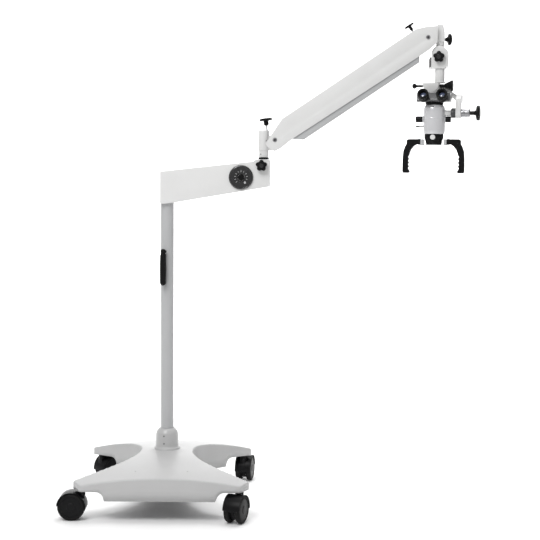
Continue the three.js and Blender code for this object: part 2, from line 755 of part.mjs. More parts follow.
add('scope_body', scopeBody(), silverWhite, head);
add('magnification_drum', magnificationDrum(), midGrey, head);
add('magnification_knob_left', magnificationKnob(-1, 69), black, head);
add('magnification_knob_right', magnificationKnob(1, 62.3), black, head);
add('filter_lever', move(revolve([
  [0, -70], [3, -69], [3, -30], [0, -30],
], 12, 'x'), opticX, opticY, 1439), black, head);
add('dovetail_ring', onOpticAxis(revolve([
  [22, bodyTop + gap], [31, bodyTop + gap], [34, 1522], [34, 1527], [22, 1527], [22, bodyTop + gap],
], 30)), black, head);

// ---------------------------------------------------------------- objective and focus

add('objective_housing', cut(
  solid(onOpticAxis(revolve([
    [25, 1371.3], [29, 1371.3], [30.5, 1380], [36, 1396], [36, bodyBottom - gap],
    [25, bodyBottom - gap], [25, 1371.3],
  ], 30))),
  solid(move(bar(4.4, -60, -20, 12, 'y'), opticX, opticY, 1398)),
), black, head);
add('objective_lens', onOpticAxis(revolve([
  [0, 1377], [23, 1379], [24.6, 1381], [24.6, 1385], [0, 1388],
], 26)), glassLook, head);
add('focus_knob', move(revolve([
  [0, -42], [8, -42], [9.5, -40], [9.5, -36.6], [4, -36.6], [4, -26], [0, -26],
], 18, 'y'), opticX, opticY, 1398), silverWhite, head);

// ---------------------------------------------------------------- hand grips

function handleBridge() {
  const ring = solid(onOpticAxis(bar(31, 1367, 1371, 30)));
  const strap = solid(onOpticAxis(box(-49, 49, -14, 14, 1367, 1371)));
  const opening = solid(onOpticAxis(bar(25, 1360, 1380, 26)));
  const post = (side) => solid(onOpticAxis(
    side < 0 ? box(-49, -38, -14, 14, 1370, 1391) : box(38, 49, -14, 14, 1370, 1391),
  ));
  return cut(join(ring, strap, post(-1), post(1)), opening);
}

// One grip: an arm out along X, then down, with finger grooves on its inner side.
function handGrip(side) {
  const at = (x, z) => [side * x, z];
  const shape = new THREE.Shape();
  shape.moveTo(...at(49.4, 1391));
  shape.lineTo(...at(97, 1391));
  shape.lineTo(...at(101, 1388));
  shape.lineTo(...at(101, 1372));
  shape.quadraticCurveTo(...at(115, 1350), ...at(115.5, 1325));
  shape.lineTo(...at(116, 1268));
  shape.lineTo(...at(112, 1264));
  shape.lineTo(...at(92, 1264));
  shape.lineTo(...at(89, 1269));
  shape.lineTo(...at(90, 1275));
  const grooves = 4;
  const steps = 6;
  for (let i = 1; i <= grooves * steps; i += 1) {
    const z = 1275 + (54 * i) / (grooves * steps);
    const wave = Math.sin((Math.PI * (i % steps)) / steps);
    shape.lineTo(...at(92 + wave * 3.4, z));
  }
  shape.quadraticCurveTo(...at(88, 1352), ...at(66, 1371));
  shape.lineTo(...at(49.4, 1371));
  shape.closePath();
  return onOpticAxis(sidePlate(shape, -11, 11, 6));
}

add('handle_bridge', handleBridge(), coolGrey, head);
add('handle_left', solid(handGrip(-1)), black, head);
add('handle_right', solid(handGrip(1)), black, head);

// ---------------------------------------------------------------- binocular head

// The eyepieces lean up from the binocular's sloping front face.
const eyeFootY = -83.2;
const eyeFootZ = 1541;

function placeOnEye(body, side) {
  return body
    .rotate([-THREE.MathUtils.radToDeg(eyeTilt), 0, 0])
    .translate([opticX + (side * eyeSpacing) / 2, eyeFootY, eyeFootZ]);
}

function binocularHousing() {
  const profile = polygon([
    [-14, 1527.3], [-72, 1527.3], [-84, 1530], [-86, 1535], [-73.6, 1561.5], [-70, 1563],
    [-20, 1562], [-14, 1556],
  ]);
  const body = solid(crossPlate(profile, opticX - 62, opticX + 62));
  const hollow = solid(crossPlate(polygon([
    [-18, 1531], [-70, 1531], [-79, 1537], [-69, 1558.5], [-20, 1558],
  ]), opticX - 57, opticX + 57));
  const lightHole = solid(onOpticAxis(bar(20, 1520, 1540, 24)));
  return cut(body, hollow, lightHole);
}

function eyepiece(side) {
  const tube = solid(revolve([
    [11, -28], [14.8, -28], [14.8, -14], [16.5, -13.5], [16.5, -0.5], [11, -0.5], [11, -28],
  ], 22, 'y'));
  return placeOnEye(tube, side);
}

function eyecup(side) {
  const cup = solid(revolve([
    [15.4, -14.3], [20, -14.3], [21, -16], [21, -38], [19, -42], [13, -42], [11.5, -36],
    [11.5, -28.4], [15.4, -28.4], [15.4, -14.3],
  ], 26, 'y'));
  return placeOnEye(cup, side);
}

add('binocular_housing', binocularHousing(), midGrey, head);
for (const [side, name] of [[-1, 'left'], [1, 'right']]) {
  add(`eyepiece_${name}`, eyepiece(side), black, head);
  add(`eyecup_${name}`, eyecup(side), black, head);
}

export default object;
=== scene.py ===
"""Looks of the floor-stand operating stereo microscope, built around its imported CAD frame.

Shapes are drawn in millimetres in the axes of their own group (stand, castor, spring arm or head),
and each group's place comes from the frame.
"""

from math import atan, atan2, cos, exp, hypot, pi, radians, sin, sqrt, tan

import bmesh
import bpy
from mathutils import Matrix, Vector


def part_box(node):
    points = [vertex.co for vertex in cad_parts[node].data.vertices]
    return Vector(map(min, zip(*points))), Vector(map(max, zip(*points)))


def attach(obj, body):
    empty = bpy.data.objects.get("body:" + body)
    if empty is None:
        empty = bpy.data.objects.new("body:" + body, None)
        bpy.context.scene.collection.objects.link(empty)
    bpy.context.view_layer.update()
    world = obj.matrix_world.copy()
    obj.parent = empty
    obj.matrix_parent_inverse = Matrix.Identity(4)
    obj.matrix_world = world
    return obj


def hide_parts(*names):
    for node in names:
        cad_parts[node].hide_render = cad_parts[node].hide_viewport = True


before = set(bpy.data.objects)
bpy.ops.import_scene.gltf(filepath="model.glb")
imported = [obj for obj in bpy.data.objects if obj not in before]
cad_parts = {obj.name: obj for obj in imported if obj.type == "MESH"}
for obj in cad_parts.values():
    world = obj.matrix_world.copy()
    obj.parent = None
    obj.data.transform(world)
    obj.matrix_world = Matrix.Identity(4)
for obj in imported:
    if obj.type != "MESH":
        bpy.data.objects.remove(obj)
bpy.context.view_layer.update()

# ---------- places, from the frame

MM = 0.001
ROUND = 72                        # segments round a turned piece
HEAD_TURN = radians(-14)     # the head faces a little to the left of the front
EYE_TILT = radians(25)
BRAKE_LEAN = radians(-7)


def centre(node):
    near_corner, far_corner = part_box(node)
    return (near_corner + far_corner) / 2 / MM


def low(node):
    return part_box(node)[0] / MM


def high(node):
    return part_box(node)[1] / MM


def shift(x, y, z):
    return Matrix.Translation((x, y, z))


def turn(angle, axis):
    return Matrix.Rotation(angle, 4, axis)


COLUMN_X = centre("column_tube").x
LOCK_KNOB_REACH = 27.5            # from the head's axis to the middle of its lock knob
HEAD_X = centre("head_lock_knob").x - LOCK_KNOB_REACH - COLUMN_X
REAR_PIVOT = centre("rear_pivot_pin")
FRONT_PIVOT = centre("front_pivot_pin")
ARM_VECTOR = FRONT_PIVOT - REAR_PIVOT
ARM_LENGTH = ARM_VECTOR.length
ARM_ANGLE = atan2(ARM_VECTOR.z, ARM_VECTOR.x)
OPTIC_X, OPTIC_Y = -13, -42
TILT_Z, MAGNIFIER_Z, INCLINE_Z, CARRIER_Z = 1488, 1465, 1697, 1591
HINGE_BORE, BOLT_BORE, SHAFT_BORE = 6.2, 5.3, 8.3      # radii, with running clearance
SIDE_NAME = {-1: "left", 1: "right"}

STAND = shift(COLUMN_X, 0, 0)
HEAD = shift(COLUMN_X + HEAD_X, 0, 0) @ turn(HEAD_TURN, "Z")
OPTIC = HEAD @ shift(OPTIC_X, OPTIC_Y, 0)
ARM = shift(*REAR_PIVOT) @ turn(-ARM_ANGLE, "Y")

TO_FRONT = turn(pi / 2, "X")         # a piece drawn towards +Z then faces -Y
ALONG_X = turn(pi / 2, "Y")          # a turned piece's axis, from +Z to +X
ALONG_Y = turn(-pi / 2, "X")         # and from +Z to +Y
ACROSS = HEAD @ turn(pi / 2, "Z") @ Matrix.Diagonal((1, -1, 1, 1))      # slabs thick along the head's X


def facing(side):
    """Turns a piece drawn towards +Z round to -Z for the left-hand side."""
    return turn(0 if side > 0 else pi, "X")


# ---------- materials

def new_material(name):
    material = bpy.data.materials.new(name)
    material.use_nodes = True
    tree = material.node_tree
    return material, tree, tree.nodes["Principled BSDF"]


def noise(tree, scale, detail=4.0, stretch=(1, 1, 1)):
    coordinates = tree.nodes.new("ShaderNodeTexCoord")
    mapping = tree.nodes.new("ShaderNodeMapping")
    mapping.inputs["Scale"].default_value = stretch
    texture = tree.nodes.new("ShaderNodeTexNoise")
    texture.inputs["Scale"].default_value = scale
    texture.inputs["Detail"].default_value = detail
    tree.links.new(coordinates.outputs["Object"], mapping.inputs["Vector"])
    tree.links.new(mapping.outputs["Vector"], texture.inputs["Vector"])
    return texture


def tinted(tree, shader, colour, amount, scale):
    """Colour that drifts a little over the surface."""
    ramp = tree.nodes.new("ShaderNodeValToRGB")
    ramp.color_ramp.elements[0].position = 0.35
    ramp.color_ramp.elements[1].position = 0.65
    ramp.color_ramp.elements[0].color = [c * (1 - amount) for c in colour] + [1]
    ramp.color_ramp.elements[1].color = [min(1, c * (1 + amount)) for c in colour] + [1]
    tree.links.new(noise(tree, scale).outputs["Fac"], ramp.inputs["Fac"])
    tree.links.new(ramp.outputs["Color"], shader.inputs["Base Color"])


def worn_gloss(tree, shader, roughness, spread, scale):
    """Roughness that varies where hands and cloths have polished it."""
    spread_map = tree.nodes.new("ShaderNodeMapRange")
    spread_map.inputs["To Min"].default_value = max(0.02, roughness - spread)
    spread_map.inputs["To Max"].default_value = roughness + spread
    tree.links.new(noise(tree, scale, 6).outputs["Fac"], spread_map.inputs["Value"])
    tree.links.new(spread_map.outputs["Result"], shader.inputs["Roughness"])


def grained(tree, shader, scale, strength, stretch=(1, 1, 1)):
    bump = tree.nodes.new("ShaderNodeBump")
    bump.inputs["Strength"].default_value = strength
    bump.inputs["Distance"].default_value = 0.0004
    tree.links.new(noise(tree, scale, 3, stretch).outputs["Fac"], bump.inputs["Height"])
    tree.links.new(bump.outputs["Normal"], shader.inputs["Normal"])


def surface(name, colour, roughness, metal=0.0, coat=0.0, grain=900, bump=0.12, drift=0.02,
            stretch=(1, 1, 1), spread=0.05, shine=0.5):
    material, tree, shader = new_material(name)
    shader.inputs["Metallic"].default_value = metal
    shader.inputs["Specular IOR Level"].default_value = shine
    shader.inputs["Coat Weight"].default_value = coat
    shader.inputs["Coat Roughness"].default_value = 0.08
    tinted(tree, shader, colour, drift, 9)
    worn_gloss(tree, shader, roughness, spread, 14)
    grained(tree, shader, grain, bump, stretch)
    return material


def glass():
    material, tree, shader = new_material("coated_glass")
    shader.inputs["Base Color"].default_value = (0.10, 0.12, 0.20, 1)
    shader.inputs["Metallic"].default_value = 0.0
    shader.inputs["Coat Weight"].default_value = 1.0
    shader.inputs["Coat Roughness"].default_value = 0.02
    worn_gloss(tree, shader, 0.05, 0.02, 40)
    grained(tree, shader, 60, 0.02)
    return material


MATERIALS = {
    "base": surface("moulded_base_grey", (0.45, 0.45, 0.45), 0.42, grain=1400, bump=0.10),
    "arm": surface("off_white_coating", (0.66, 0.66, 0.655), 0.34, coat=0.2, grain=1100, bump=0.10),
    "collar": surface("grey_white_coating", (0.44, 0.44, 0.44), 0.36, coat=0.15, grain=1100, bump=0.10),
    "column": surface("cool_grey_coating", (0.42, 0.425, 0.43), 0.32, coat=0.2, grain=1100, bump=0.08),
    # light grey parts; on the lower arm's end cap this darker grey is painted shade for the end face
    "panel": surface("light_grey_coating_and_painted_end_shade", (0.42, 0.425, 0.43), 0.36, coat=0.1, bump=0.08),
    "scope": surface("gloss_silver_white", (0.62, 0.62, 0.635), 0.18, metal=0.3, coat=0.6, bump=0.03),
    "bino": surface("satin_mid_grey", (0.055, 0.055, 0.058), 0.30, metal=0.15, coat=0.3, bump=0.06),
    "black": surface("moulded_black", (0.006, 0.006, 0.0065), 0.36, grain=2200, bump=0.16, drift=0.15,
                     shine=0.12),
    "gloss": surface("gloss_black", (0.006, 0.006, 0.007), 0.10, coat=0.8, bump=0.02, drift=0.1),
    "rubber": surface("matt_rubber", (0.007, 0.007, 0.007), 0.62, grain=2600, bump=0.30, drift=0.2,
                      shine=0.15),
    "steel": surface("brushed_steel", (0.30, 0.30, 0.31), 0.26, metal=1.0, grain=500, bump=0.20,
                     stretch=(1, 8, 8)),
    "zinc": surface("plated_steel", (0.30, 0.30, 0.31), 0.34, metal=1.0, grain=700, bump=0.10),
    "iron": surface("primed_iron", (0.06, 0.06, 0.065), 0.7, grain=300, bump=0.5, drift=0.2),
    # dark screws and pins; the thin disc of it at each hinge-pin end is painted shade for the socket hole
    "dark": surface("dark_parts_and_painted_socket_shade", (0.01, 0.01, 0.01), 0.8, bump=0.05, drift=0.1),
    "mark": surface("printed_white", (0.75, 0.75, 0.75), 0.5, bump=0.02),
    "glass": glass(),
}


# ---------- outlines

SHALLOW = radians(12)       # a bend below this belongs to a curve, and is left alone


def rounded(points, radius, closed=True, steps=5):
    """The same outline with its corners rounded, where there is room for it."""
    count = len(points)
    result = []
    for i, (x, y) in enumerate(points):
        here = Vector((x, y))
        if not closed and i in (0, count - 1):
            result.append((x, y))
            continue
        before = Vector(points[i - 1]) - here
        after = Vector(points[(i + 1) % count]) - here
        if before.length < 1e-6 or after.length < 1e-6 or abs(before.angle(after) - pi) < SHALLOW:
            result.append((x, y))
            continue
        reach = min(radius / tan(before.angle(after) / 2), before.length * 0.48, after.length * 0.48)
        start = here + before.normalized() * reach
        end = here + after.normalized() * reach
        for k in range(steps + 1):
            t = k / steps
            point = start * (1 - t) ** 2 + here * 2 * t * (1 - t) + end * t ** 2
            result.append((point.x, point.y))
    return result


def arc(x, y, radius, start, end, steps=24):
    """Points round an arc, with its angles in degrees."""
    angles = [radians(start + (end - start) * k / steps) for k in range(steps + 1)]
    return [(x + radius * cos(a), y + radius * sin(a)) for a in angles]


def lobed(lobes, radius, depth, steps=14):
    """A star knob's outline, one lobe up."""
    count = lobes * steps
    points = []
    for k in range(count):
        angle = pi / 2 + 2 * pi * k / count
        wave = 0.5 + 0.5 * cos(lobes * (angle - pi / 2))
        reach = radius * (1 - depth * (1 - wave ** 0.6))
        points.append((reach * cos(angle), reach * sin(angle)))
    return points


# ---------- meshes

def finish_object(name, mesh, place, look, smooth=40):
    mesh.transform(Matrix.Diagonal((MM, MM, MM, 1)) @ place)
    mesh.materials.append(MATERIALS[look])
    mesh.shade_smooth()
    mesh.set_sharp_from_angle(angle=radians(smooth))
    thing = bpy.data.objects.new(name, mesh)
    bpy.context.scene.collection.objects.link(thing)
    thing["look"] = look
    return thing


def to_mesh(name, work):
    bmesh.ops.recalc_face_normals(work, faces=work.faces)
    mesh = bpy.data.meshes.new(name)
    work.to_mesh(mesh)
    work.free()
    return mesh


def turned(name, profile, look, place, soft=0.8, segments=ROUND, closed=False):
    """A piece turned about its own +Z: profile is a list of (radius, height)."""
    outline = rounded(profile, soft, closed=closed, steps=3)
    work = bmesh.new()
    rings = []
    for radius, height in outline:
        if radius < 1e-6:
            rings.append([work.verts.new((0, 0, height))])
            continue
        angles = [2 * pi * k / segments for k in range(segments)]
        rings.append([work.verts.new((radius * cos(a), radius * sin(a), height)) for a in angles])
    pairs = list(zip(rings, rings[1:]))
    if closed:
        pairs.append((rings[-1], rings[0]))
    for one, two in pairs:
        for k in range(segments):
            corners = [one[k % len(one)], one[(k + 1) % len(one)] if len(one) > 1 else None,
                       two[(k + 1) % len(two)] if len(two) > 1 else None, two[k % len(two)]]
            corners = [c for c in corners if c is not None]
            if len(corners) > 2:
                work.faces.new(corners)
    return finish_object(name, to_mesh(name, work), place, look)


def cylinder(name, radius, start, stop, look, place, soft=0.8, segments=ROUND):
    """A solid cylinder from start to stop along its own +Z."""
    profile = [(0, start), (radius, start), (radius, stop), (0, stop)]
    return turned(name, profile, look, place, soft, segments)


def slab(name, outline, near, far, look, place, edge=1.5):
    """An outline in X and Z, thick from Y = near to Y = far, with rounded edges."""
    work = bmesh.new()
    front = [work.verts.new((x, near, z)) for x, z in outline]
    back = [work.verts.new((x, far, z)) for x, z in outline]
    work.faces.new(front)
    work.faces.new(list(reversed(back)))
    count = len(outline)
    for k in range(count):
        n = (k + 1) % count
        work.faces.new((front[n], front[k], back[k], back[n]))
    thing = finish_object(name, to_mesh(name, work), place, look, 30)
    if edge:
        round_edges(thing, edge)
    return thing


def block(name, x0, x1, y0, y1, z0, z1, look, place, edge=1.5, corner=2):
    outline = rounded([(x0, z0), (x1, z0), (x1, z1), (x0, z1)], corner)
    return slab(name, outline, y0, y1, look, place, edge)


def knurled(name, count, near, far, half, bottom, top, look, place, edge, corner):
    """Fine ribs all round a grip, from radius near to radius far."""
    return [block(f"{name}_{k}", near, far, -half, half, bottom, top, look,
                  place @ turn(2 * pi * k / count, "Z"), edge, corner) for k in range(count)]


def apply_modifiers(thing):
    graph = bpy.context.evaluated_depsgraph_get()
    mesh = bpy.data.meshes.new_from_object(thing.evaluated_get(graph))
    thing.modifiers.clear()
    thing.data = mesh


def round_edges(thing, width, angle=35, segments=3):
    bevel = thing.modifiers.new("edge", "BEVEL")
    bevel.width = width * MM
    bevel.segments = segments
    bevel.limit_method = "ANGLE"
    bevel.angle_limit = radians(angle)
    bevel.harden_normals = False
    apply_modifiers(thing)
    thing.data.shade_smooth()
    thing.data.set_sharp_from_angle(angle=radians(50))
    return thing


def carve(thing, *cutters):
    for cutter in cutters:
        step = thing.modifiers.new("cut", "BOOLEAN")
        step.operation = "DIFFERENCE"
        step.solver = "EXACT"
        step.object = cutter
        apply_modifiers(thing)
        bpy.data.objects.remove(cutter)
    thing.data.shade_smooth()
    thing.data.set_sharp_from_angle(angle=radians(35))
    return thing


def joined(name, *things):
    """Several objects as one piece, each keeping its own material."""
    bpy.ops.object.select_all(action="DESELECT")
    for thing in things:
        thing.select_set(True)
    bpy.context.view_layer.objects.active = things[0]
    bpy.ops.object.join()
    things[0].name = name
    return things[0]


def fit(thing, body, *nodes):
    """The piece rides on its body and stands for the CAD nodes it is drawn over."""
    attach(thing, body)
    if nodes:
        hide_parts(*nodes)
    return thing


def repaint(node, look):
    """A CAD node that shows as it is, with a material of this scene."""
    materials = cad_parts[node].data.materials
    materials.clear()
    materials.append(MATERIALS[look])


def screw(name, radius, place, look="zinc"):
    """A socket-head screw's face, its axis along +Z."""
    head = turned(name, [(0, -1.2), (radius, -1.2), (radius, 0.6), (radius * 0.5, 0.6),
                         (radius * 0.5, -0.6), (0, -0.6)], look, place, 0.25, 24)
    return head


# ---------- base

STEM_X, STEM_Y = 288, 286
TIP_X, TIP_Y = 322, 276           # outer corner of a leg end
END_X, FRONT_Y = 290, 333
BAY_X, BAY_CONTROL = 100, 170
SKIRT_LOW, LEG_LOW = 78, 112
DOME_TOP, DOME_RADIUS = 198, 1550
SWELL = 5                         # rise of the cover round the foot of the column
ARCH_RADIUS, ARCH_FADE = 72, 26   # of the arch over each castor
RIM_ROUND = 6
TOP_STEP, TOP_CUTS = 16, 21      # the grid that the domed top is cut on
COVER_WALL = 4


def base_plan():
    """Plan of the base, anticlockwise from the right-hand bay."""
    bay = []
    for k in range(29):
        t = k / 28
        x = BAY_X * (1 - t) ** 2 + BAY_X * 2 * t * (1 - t) + TIP_X * t ** 2
        y = BAY_CONTROL * 2 * t * (1 - t) + TIP_Y * t ** 2
        bay.append((x, y))
    front = [(END_X - (2 * END_X) * k / 40, FRONT_Y) for k in range(41)]
    half = bay + front + [(-x, y) for x, y in reversed(bay)]
    return softened(half + [(-x, -y) for x, y in half[1:-1]], 5, 1)


def softened(points, spacing, reach):
    """The outline in even steps, each the mean of its neighbours, so that corners turn gently."""
    loop = [Vector(p) for p in points]
    even = []
    left = 0
    for one, two in zip(loop, loop[1:] + loop[:1]):
        length = (two - one).length
        while left < length:
            even.append(one.lerp(two, left / length))
            left += spacing
        left -= length
    count = len(even)
    window = range(-reach, reach + 1)
    return [tuple(sum((even[(k + n) % count] for n in window), Vector((0, 0))) / len(window))
            for k in range(count)]


def inset(points, distance):
    """The outline moved inwards, square to itself."""
    moved = []
    count = len(points)
    for i in range(count):
        tangent = Vector(points[(i + 1) % count]) - Vector(points[i - 1])
        normal = Vector((-tangent.y, tangent.x)).normalized()
        moved.append(tuple(Vector(points[i]) + normal * distance))
    return moved


def dome(x, y):
    radius = hypot(x, y)
    swell = SWELL * exp(-((max(0, radius - 46) / 16) ** 2))
    return DOME_TOP - DOME_RADIUS + sqrt(DOME_RADIUS ** 2 - radius ** 2) + swell - SWELL * (radius < 1)


def skirt_bottom(x, y):
    """The skirt rises in an arch over each castor."""
    reach = hypot(abs(x) - STEM_X, abs(y) - STEM_Y)
    t = min(1, max(0, (reach - ARCH_RADIUS) / ARCH_FADE))
    return SKIRT_LOW + (LEG_LOW - SKIRT_LOW) * sqrt(max(0, 1 - t * t))


def base_cover():
    outline = base_plan()
    work = bmesh.new()
    rings = [[(x, y, skirt_bottom(x, y)) for x, y in outline]]
    for share in (0.5, 1):
        rings.append([(x, y, skirt_bottom(x, y) * (1 - share) + (dome(x, y) - RIM_ROUND) * share)
                      for x, y in outline])
    for k in range(1, 7):
        angle = pi / 2 * k / 6
        edge = inset(outline, RIM_ROUND * (1 - cos(angle)))
        rings.append([(x, y, dome(x, y) - RIM_ROUND * (1 - sin(angle))) for x, y in edge])
    made = [[work.verts.new(p) for p in ring] for ring in rings]
    count = len(outline)
    for one, two in zip(made, made[1:]):
        for k in range(count):
            n = (k + 1) % count
            work.faces.new((one[k], one[n], two[n], two[k]))
    work.faces.new(made[-1])
    for axis in ((1, 0, 0), (0, 1, 0)):
        for k in range(-TOP_CUTS, TOP_CUTS + 1):
            top = [face for face in work.faces if face.normal.z > 0.6 or len(face.verts) > 4]
            parts = {item for face in top for item in (face, *face.edges, *face.verts)}
            bmesh.ops.bisect_plane(work, geom=list(parts), plane_no=axis,
                                   plane_co=[step * TOP_STEP * k for step in axis])
    rim = {corner for ring in made for corner in ring}
    for corner in work.verts:
        if corner not in rim:
            corner.co.z = dome(corner.co.x, corner.co.y)
    mesh = to_mesh("base_cover_shell", work)
    shell = finish_object("base_cover_shell", mesh, STAND, "base", 60)
    wall = shell.modifiers.new("wall", "SOLIDIFY")
    wall.thickness = COVER_WALL * MM
    wall.offset = -1
    wall.use_even_offset = False
    apply_modifiers(shell)
    return fit(shell, "base", "base_cover")


def base_screws():
    spots = [(x, y) for x in (-95, 95) for y in (-262, 262)]
    heads = []
    for k, (x, y) in enumerate(spots):
        place = STAND @ shift(x, y, dome(x, y) - 0.2) @ turn(-x / DOME_RADIUS, "Y") @ turn(y / DOME_RADIUS,
            "X")
        heads.append(screw(f"base_screw_{k}", 3.2, place, "base"))
    return fit(joined("base_cover_screws", *heads), "base")


base_cover()
base_screws()
repaint("base_casting", "iron")


# ---------- castors

WHEEL, TRAIL = 50, 36
CASTORS = {
    "front_left": (-STEM_X, -STEM_Y, 180),
    "front_right": (STEM_X, -STEM_Y, -111),
    "rear_right": (STEM_X, STEM_Y, 80),
    "rear_left": (-STEM_X, STEM_Y, 48),
}


def castor_wheels(corner, place):
    axle = place @ shift(TRAIL, 0, WHEEL) @ ALONG_Y
    parts = []
    for side in (-1, 1):
        disc = axle if side > 0 else axle @ turn(pi, "X")
        tyre = [(20, 11), (44, 11), (48, 13), (WHEEL, 17), (WHEEL, 26), (47.5, 30.5), (44, 32),
                (40, 32), (39, 30), (20, 29), (20, 11)]
        hub = [(5.5, 10.5), (20, 10.5), (20, 29), (38.6, 29), (38.2, 30.2), (30, 31), (16, 31), (14, 32.6),
               (0, 33)]
        parts.append(turned(f"tyre_{corner}_{side}", tyre[:-1], "rubber", disc, 1.6, closed=True))
        parts.append(turned(f"hub_{corner}_{side}", hub, "black", disc, 0.8))
    parts.append(cylinder(f"axle_{corner}", 5, -12, 12, "zinc", axle))
    return fit(joined(f"wheel_pair_{corner}", *parts), f"wheels_{corner}", f"castor_wheels_{corner}")


def castor_hood(corner, place):
    hood = arc(TRAIL, WHEEL, 53.4, 4, 186, 40) + arc(TRAIL, WHEEL, 51.2, 186, 4, 40)
    cover = slab(f"hood_{corner}", rounded(hood, 1), -32.5, 32.5, "black", place, 1.2)
    web_outline = arc(TRAIL, WHEEL, 53, 0, 190, 40) + arc(TRAIL, WHEEL, 38, 190, 360, 30)
    web = slab(f"web_{corner}", web_outline, -8.5, 8.5, "black", place, 1.2)
    strut = slab(f"strut_{corner}", rounded([(-12, 52), (20, 52), (24, 104), (-11, 106)], 5), -11, 11,
                 "black", place, 3)
    carve(web, cylinder("axle_hole", 5.4, -30, 30, "black",
                      place @ shift(TRAIL, 0, WHEEL) @ ALONG_Y))
    socket = turned(f"socket_{corner}", [(0, 90), (13, 90), (13, 107), (11, 110.5), (0, 110.5)], "black",
                    place)
    stem = cylinder(f"stem_{corner}", 7.9, 106, 125, "zinc", place)
    return fit(joined(f"castor_hood_{corner}", cover, web, strut, socket, stem),
               f"castor_{corner}", f"castor_yoke_{corner}")


for corner, (x, y, angle) in CASTORS.items():
    spot = STAND @ shift(x, y, 0) @ turn(radians(angle), "Z")
    castor_wheels(corner, spot)
    castor_hood(corner, spot)


# ---------- column

def column():
    top = high("column_tube").z
    tube = turned("column_pipe", [(22, low("column_tube").z), (25, low("column_tube").z), (25, top),
                                  (22, top)], "column", STAND, 0.4, 96, closed=True)
    return fit(tube, "base", "column_tube")


def collar():
    foot = low("column_collar").z
    profile = [(25.2, foot), (50.6, foot), (51, foot + 2), (49, foot + 8), (44.4, foot + 12),
               (43, foot + 17),
               (43, foot + 57), (41, foot + 67), (36, foot + 76), (31, foot + 81), (29, foot + 83),
               (25.2, foot + 83)]
    body = turned("collar_sleeve", profile, "collar", STAND, 4, 96, closed=True)
    return fit(body, "base", "column_collar")


def collar_screws():
    heads = []
    for k, height in enumerate((226, 255)):
        place = STAND @ turn(radians(-12), "Z") @ shift(0, -42.6, height) @ TO_FRONT
        heads.append(screw(f"set_screw_{k}", 3.0, place, "dark"))
    return fit(joined("collar_set_screws", *heads), "base")


def column_handle():
    foot, top = low("column_handle").z, high("column_handle").z
    side = STAND @ turn(radians(-17), "Z")
    axis = side @ shift(0, -44, 0)
    place = axis @ Matrix.Diagonal((1, 0.85, 1, 1))
    grip = turned("grip", [(0, foot), (6, foot + 0.5), (12, foot + 8), (12.5, foot + 50), (12.2, foot + 84),
                           (11.6, top - 27), (9.2, top - 19), (9.4, top - 10), (8.6, top - 2), (0, top)],
                  "black", place, 5, 48)
    feet = [block(f"handle_foot_{z}", -6, 6, 9, 17.4, foot + z, foot + z + 14, "black",
                  axis, 1.5) for z in (12, 104)]
    nut = cylinder("handle_nut", 5, -3, 3, "black",
                 side @ shift(8, -40, top - 10) @ ALONG_X, 0.6, 24)
    return fit(joined("column_grip", grip, *feet, nut), "base", "column_handle")


column()
collar()
collar_screws()
column_handle()


# ---------- lower arm

ARM_HALF = 38
ARM_SLOPE = 62 / 355.5            # rise of the underside along the lower arm
PANEL = centre("control_panel") - Vector((COLUMN_X, 0, 0))
PANEL_FACE = STAND @ shift(PANEL.x, -ARM_HALF, PANEL.z) @ TO_FRONT
LOCK = centre("swivel_lock_knob") - Vector((COLUMN_X, 0, 0))


def lower_arm():
    points = [(-25, 1141), (30, 1146.5), (385.5, 1208.5), (385.5, 1311), (333, 1311), (325, 1303),
              (-25, 1263)]
    shell = slab("arm_casting", rounded(points, 3), -ARM_HALF, ARM_HALF, "arm", STAND, 0)
    cavity = slab("cavity", [(46, 1100), (335, 1100), (335, 1296), (46, 1266)], -34, 34, "arm", STAND, 0)
    bore = cylinder("bore", 25.4, 1100, 1238, "arm", STAND)
    seat = cylinder("seat", 12.5, 1238, 1330, "arm", STAND @ shift(364, 0, 0))
    carve(shell, cavity, bore, seat)
    round_edges(shell, 2.6)
    return fit(shell, "lower_arm", "lower_arm_housing")


def bottom_cover():
    points = [(46.5, 1149.6), (334.5, 1149.6 + 288 * ARM_SLOPE), (334.5, 1152.4 + 288 * ARM_SLOPE),
              (46.5, 1152.4)]
    cover = slab("arm_bottom_plate", points, -33.6, 33.6, "arm", STAND, 0.6)
    heads = [screw(f"plate_screw_{x}_{y}", 3, STAND @ shift(x, y, 1149.4 + (x - 46.5) * ARM_SLOPE)
                   @ turn(pi, "X") @ turn(atan(ARM_SLOPE), "Y")) for x in (60, 320) for y in (-24, 24)]
    return fit(joined("arm_bottom_plate", cover, *heads), "lower_arm", "lower_arm_bottom_cover")


def end_plate():
    # the cap's darker panel grey is painted shade for the arm's end face
    plate = slab("arm_end_cap", rounded([(385.8, 1209.5), (388.8, 1209.5), (388.8, 1310), (385.8, 1310)],
        0.8),
                 -ARM_HALF + 0.6, ARM_HALF - 0.6, "panel", STAND, 0.6)
    heads = [screw(f"cap_screw_{y}_{z}", 3, STAND @ shift(388.3, y, z) @ ALONG_X)
             for y in (-28, 28) for z in (1222, 1298)]
    cap = joined("arm_end_cap", plate, *heads)
    return fit(cap, "lower_arm", "lower_arm_end_plate")


def control_panel():
    disc = turned("panel_disc", [(14, 0.4), (45.4, 0.4), (46, 1.2), (46, 4), (44.5, 6.6), (41.5, 8.4),
        (40.5, 7.4),
                                 (14, 7.4)], "gloss", PANEL_FACE, 1, 96, closed=True)
    ticks = []
    for k in range(11):
        angle = radians(-135 + 27 * k)
        place = PANEL_FACE @ turn(angle, "Z") @ shift(0, 20, 7.5)
        ticks.append(block(f"tick_{k}", -0.5, 0.5, 0, 5 if k % 5 else 7, -0.15, 0.15, "mark", place, 0,
                           0.1))
    return fit(joined("panel_face", disc, *ticks), "lower_arm", "control_panel")


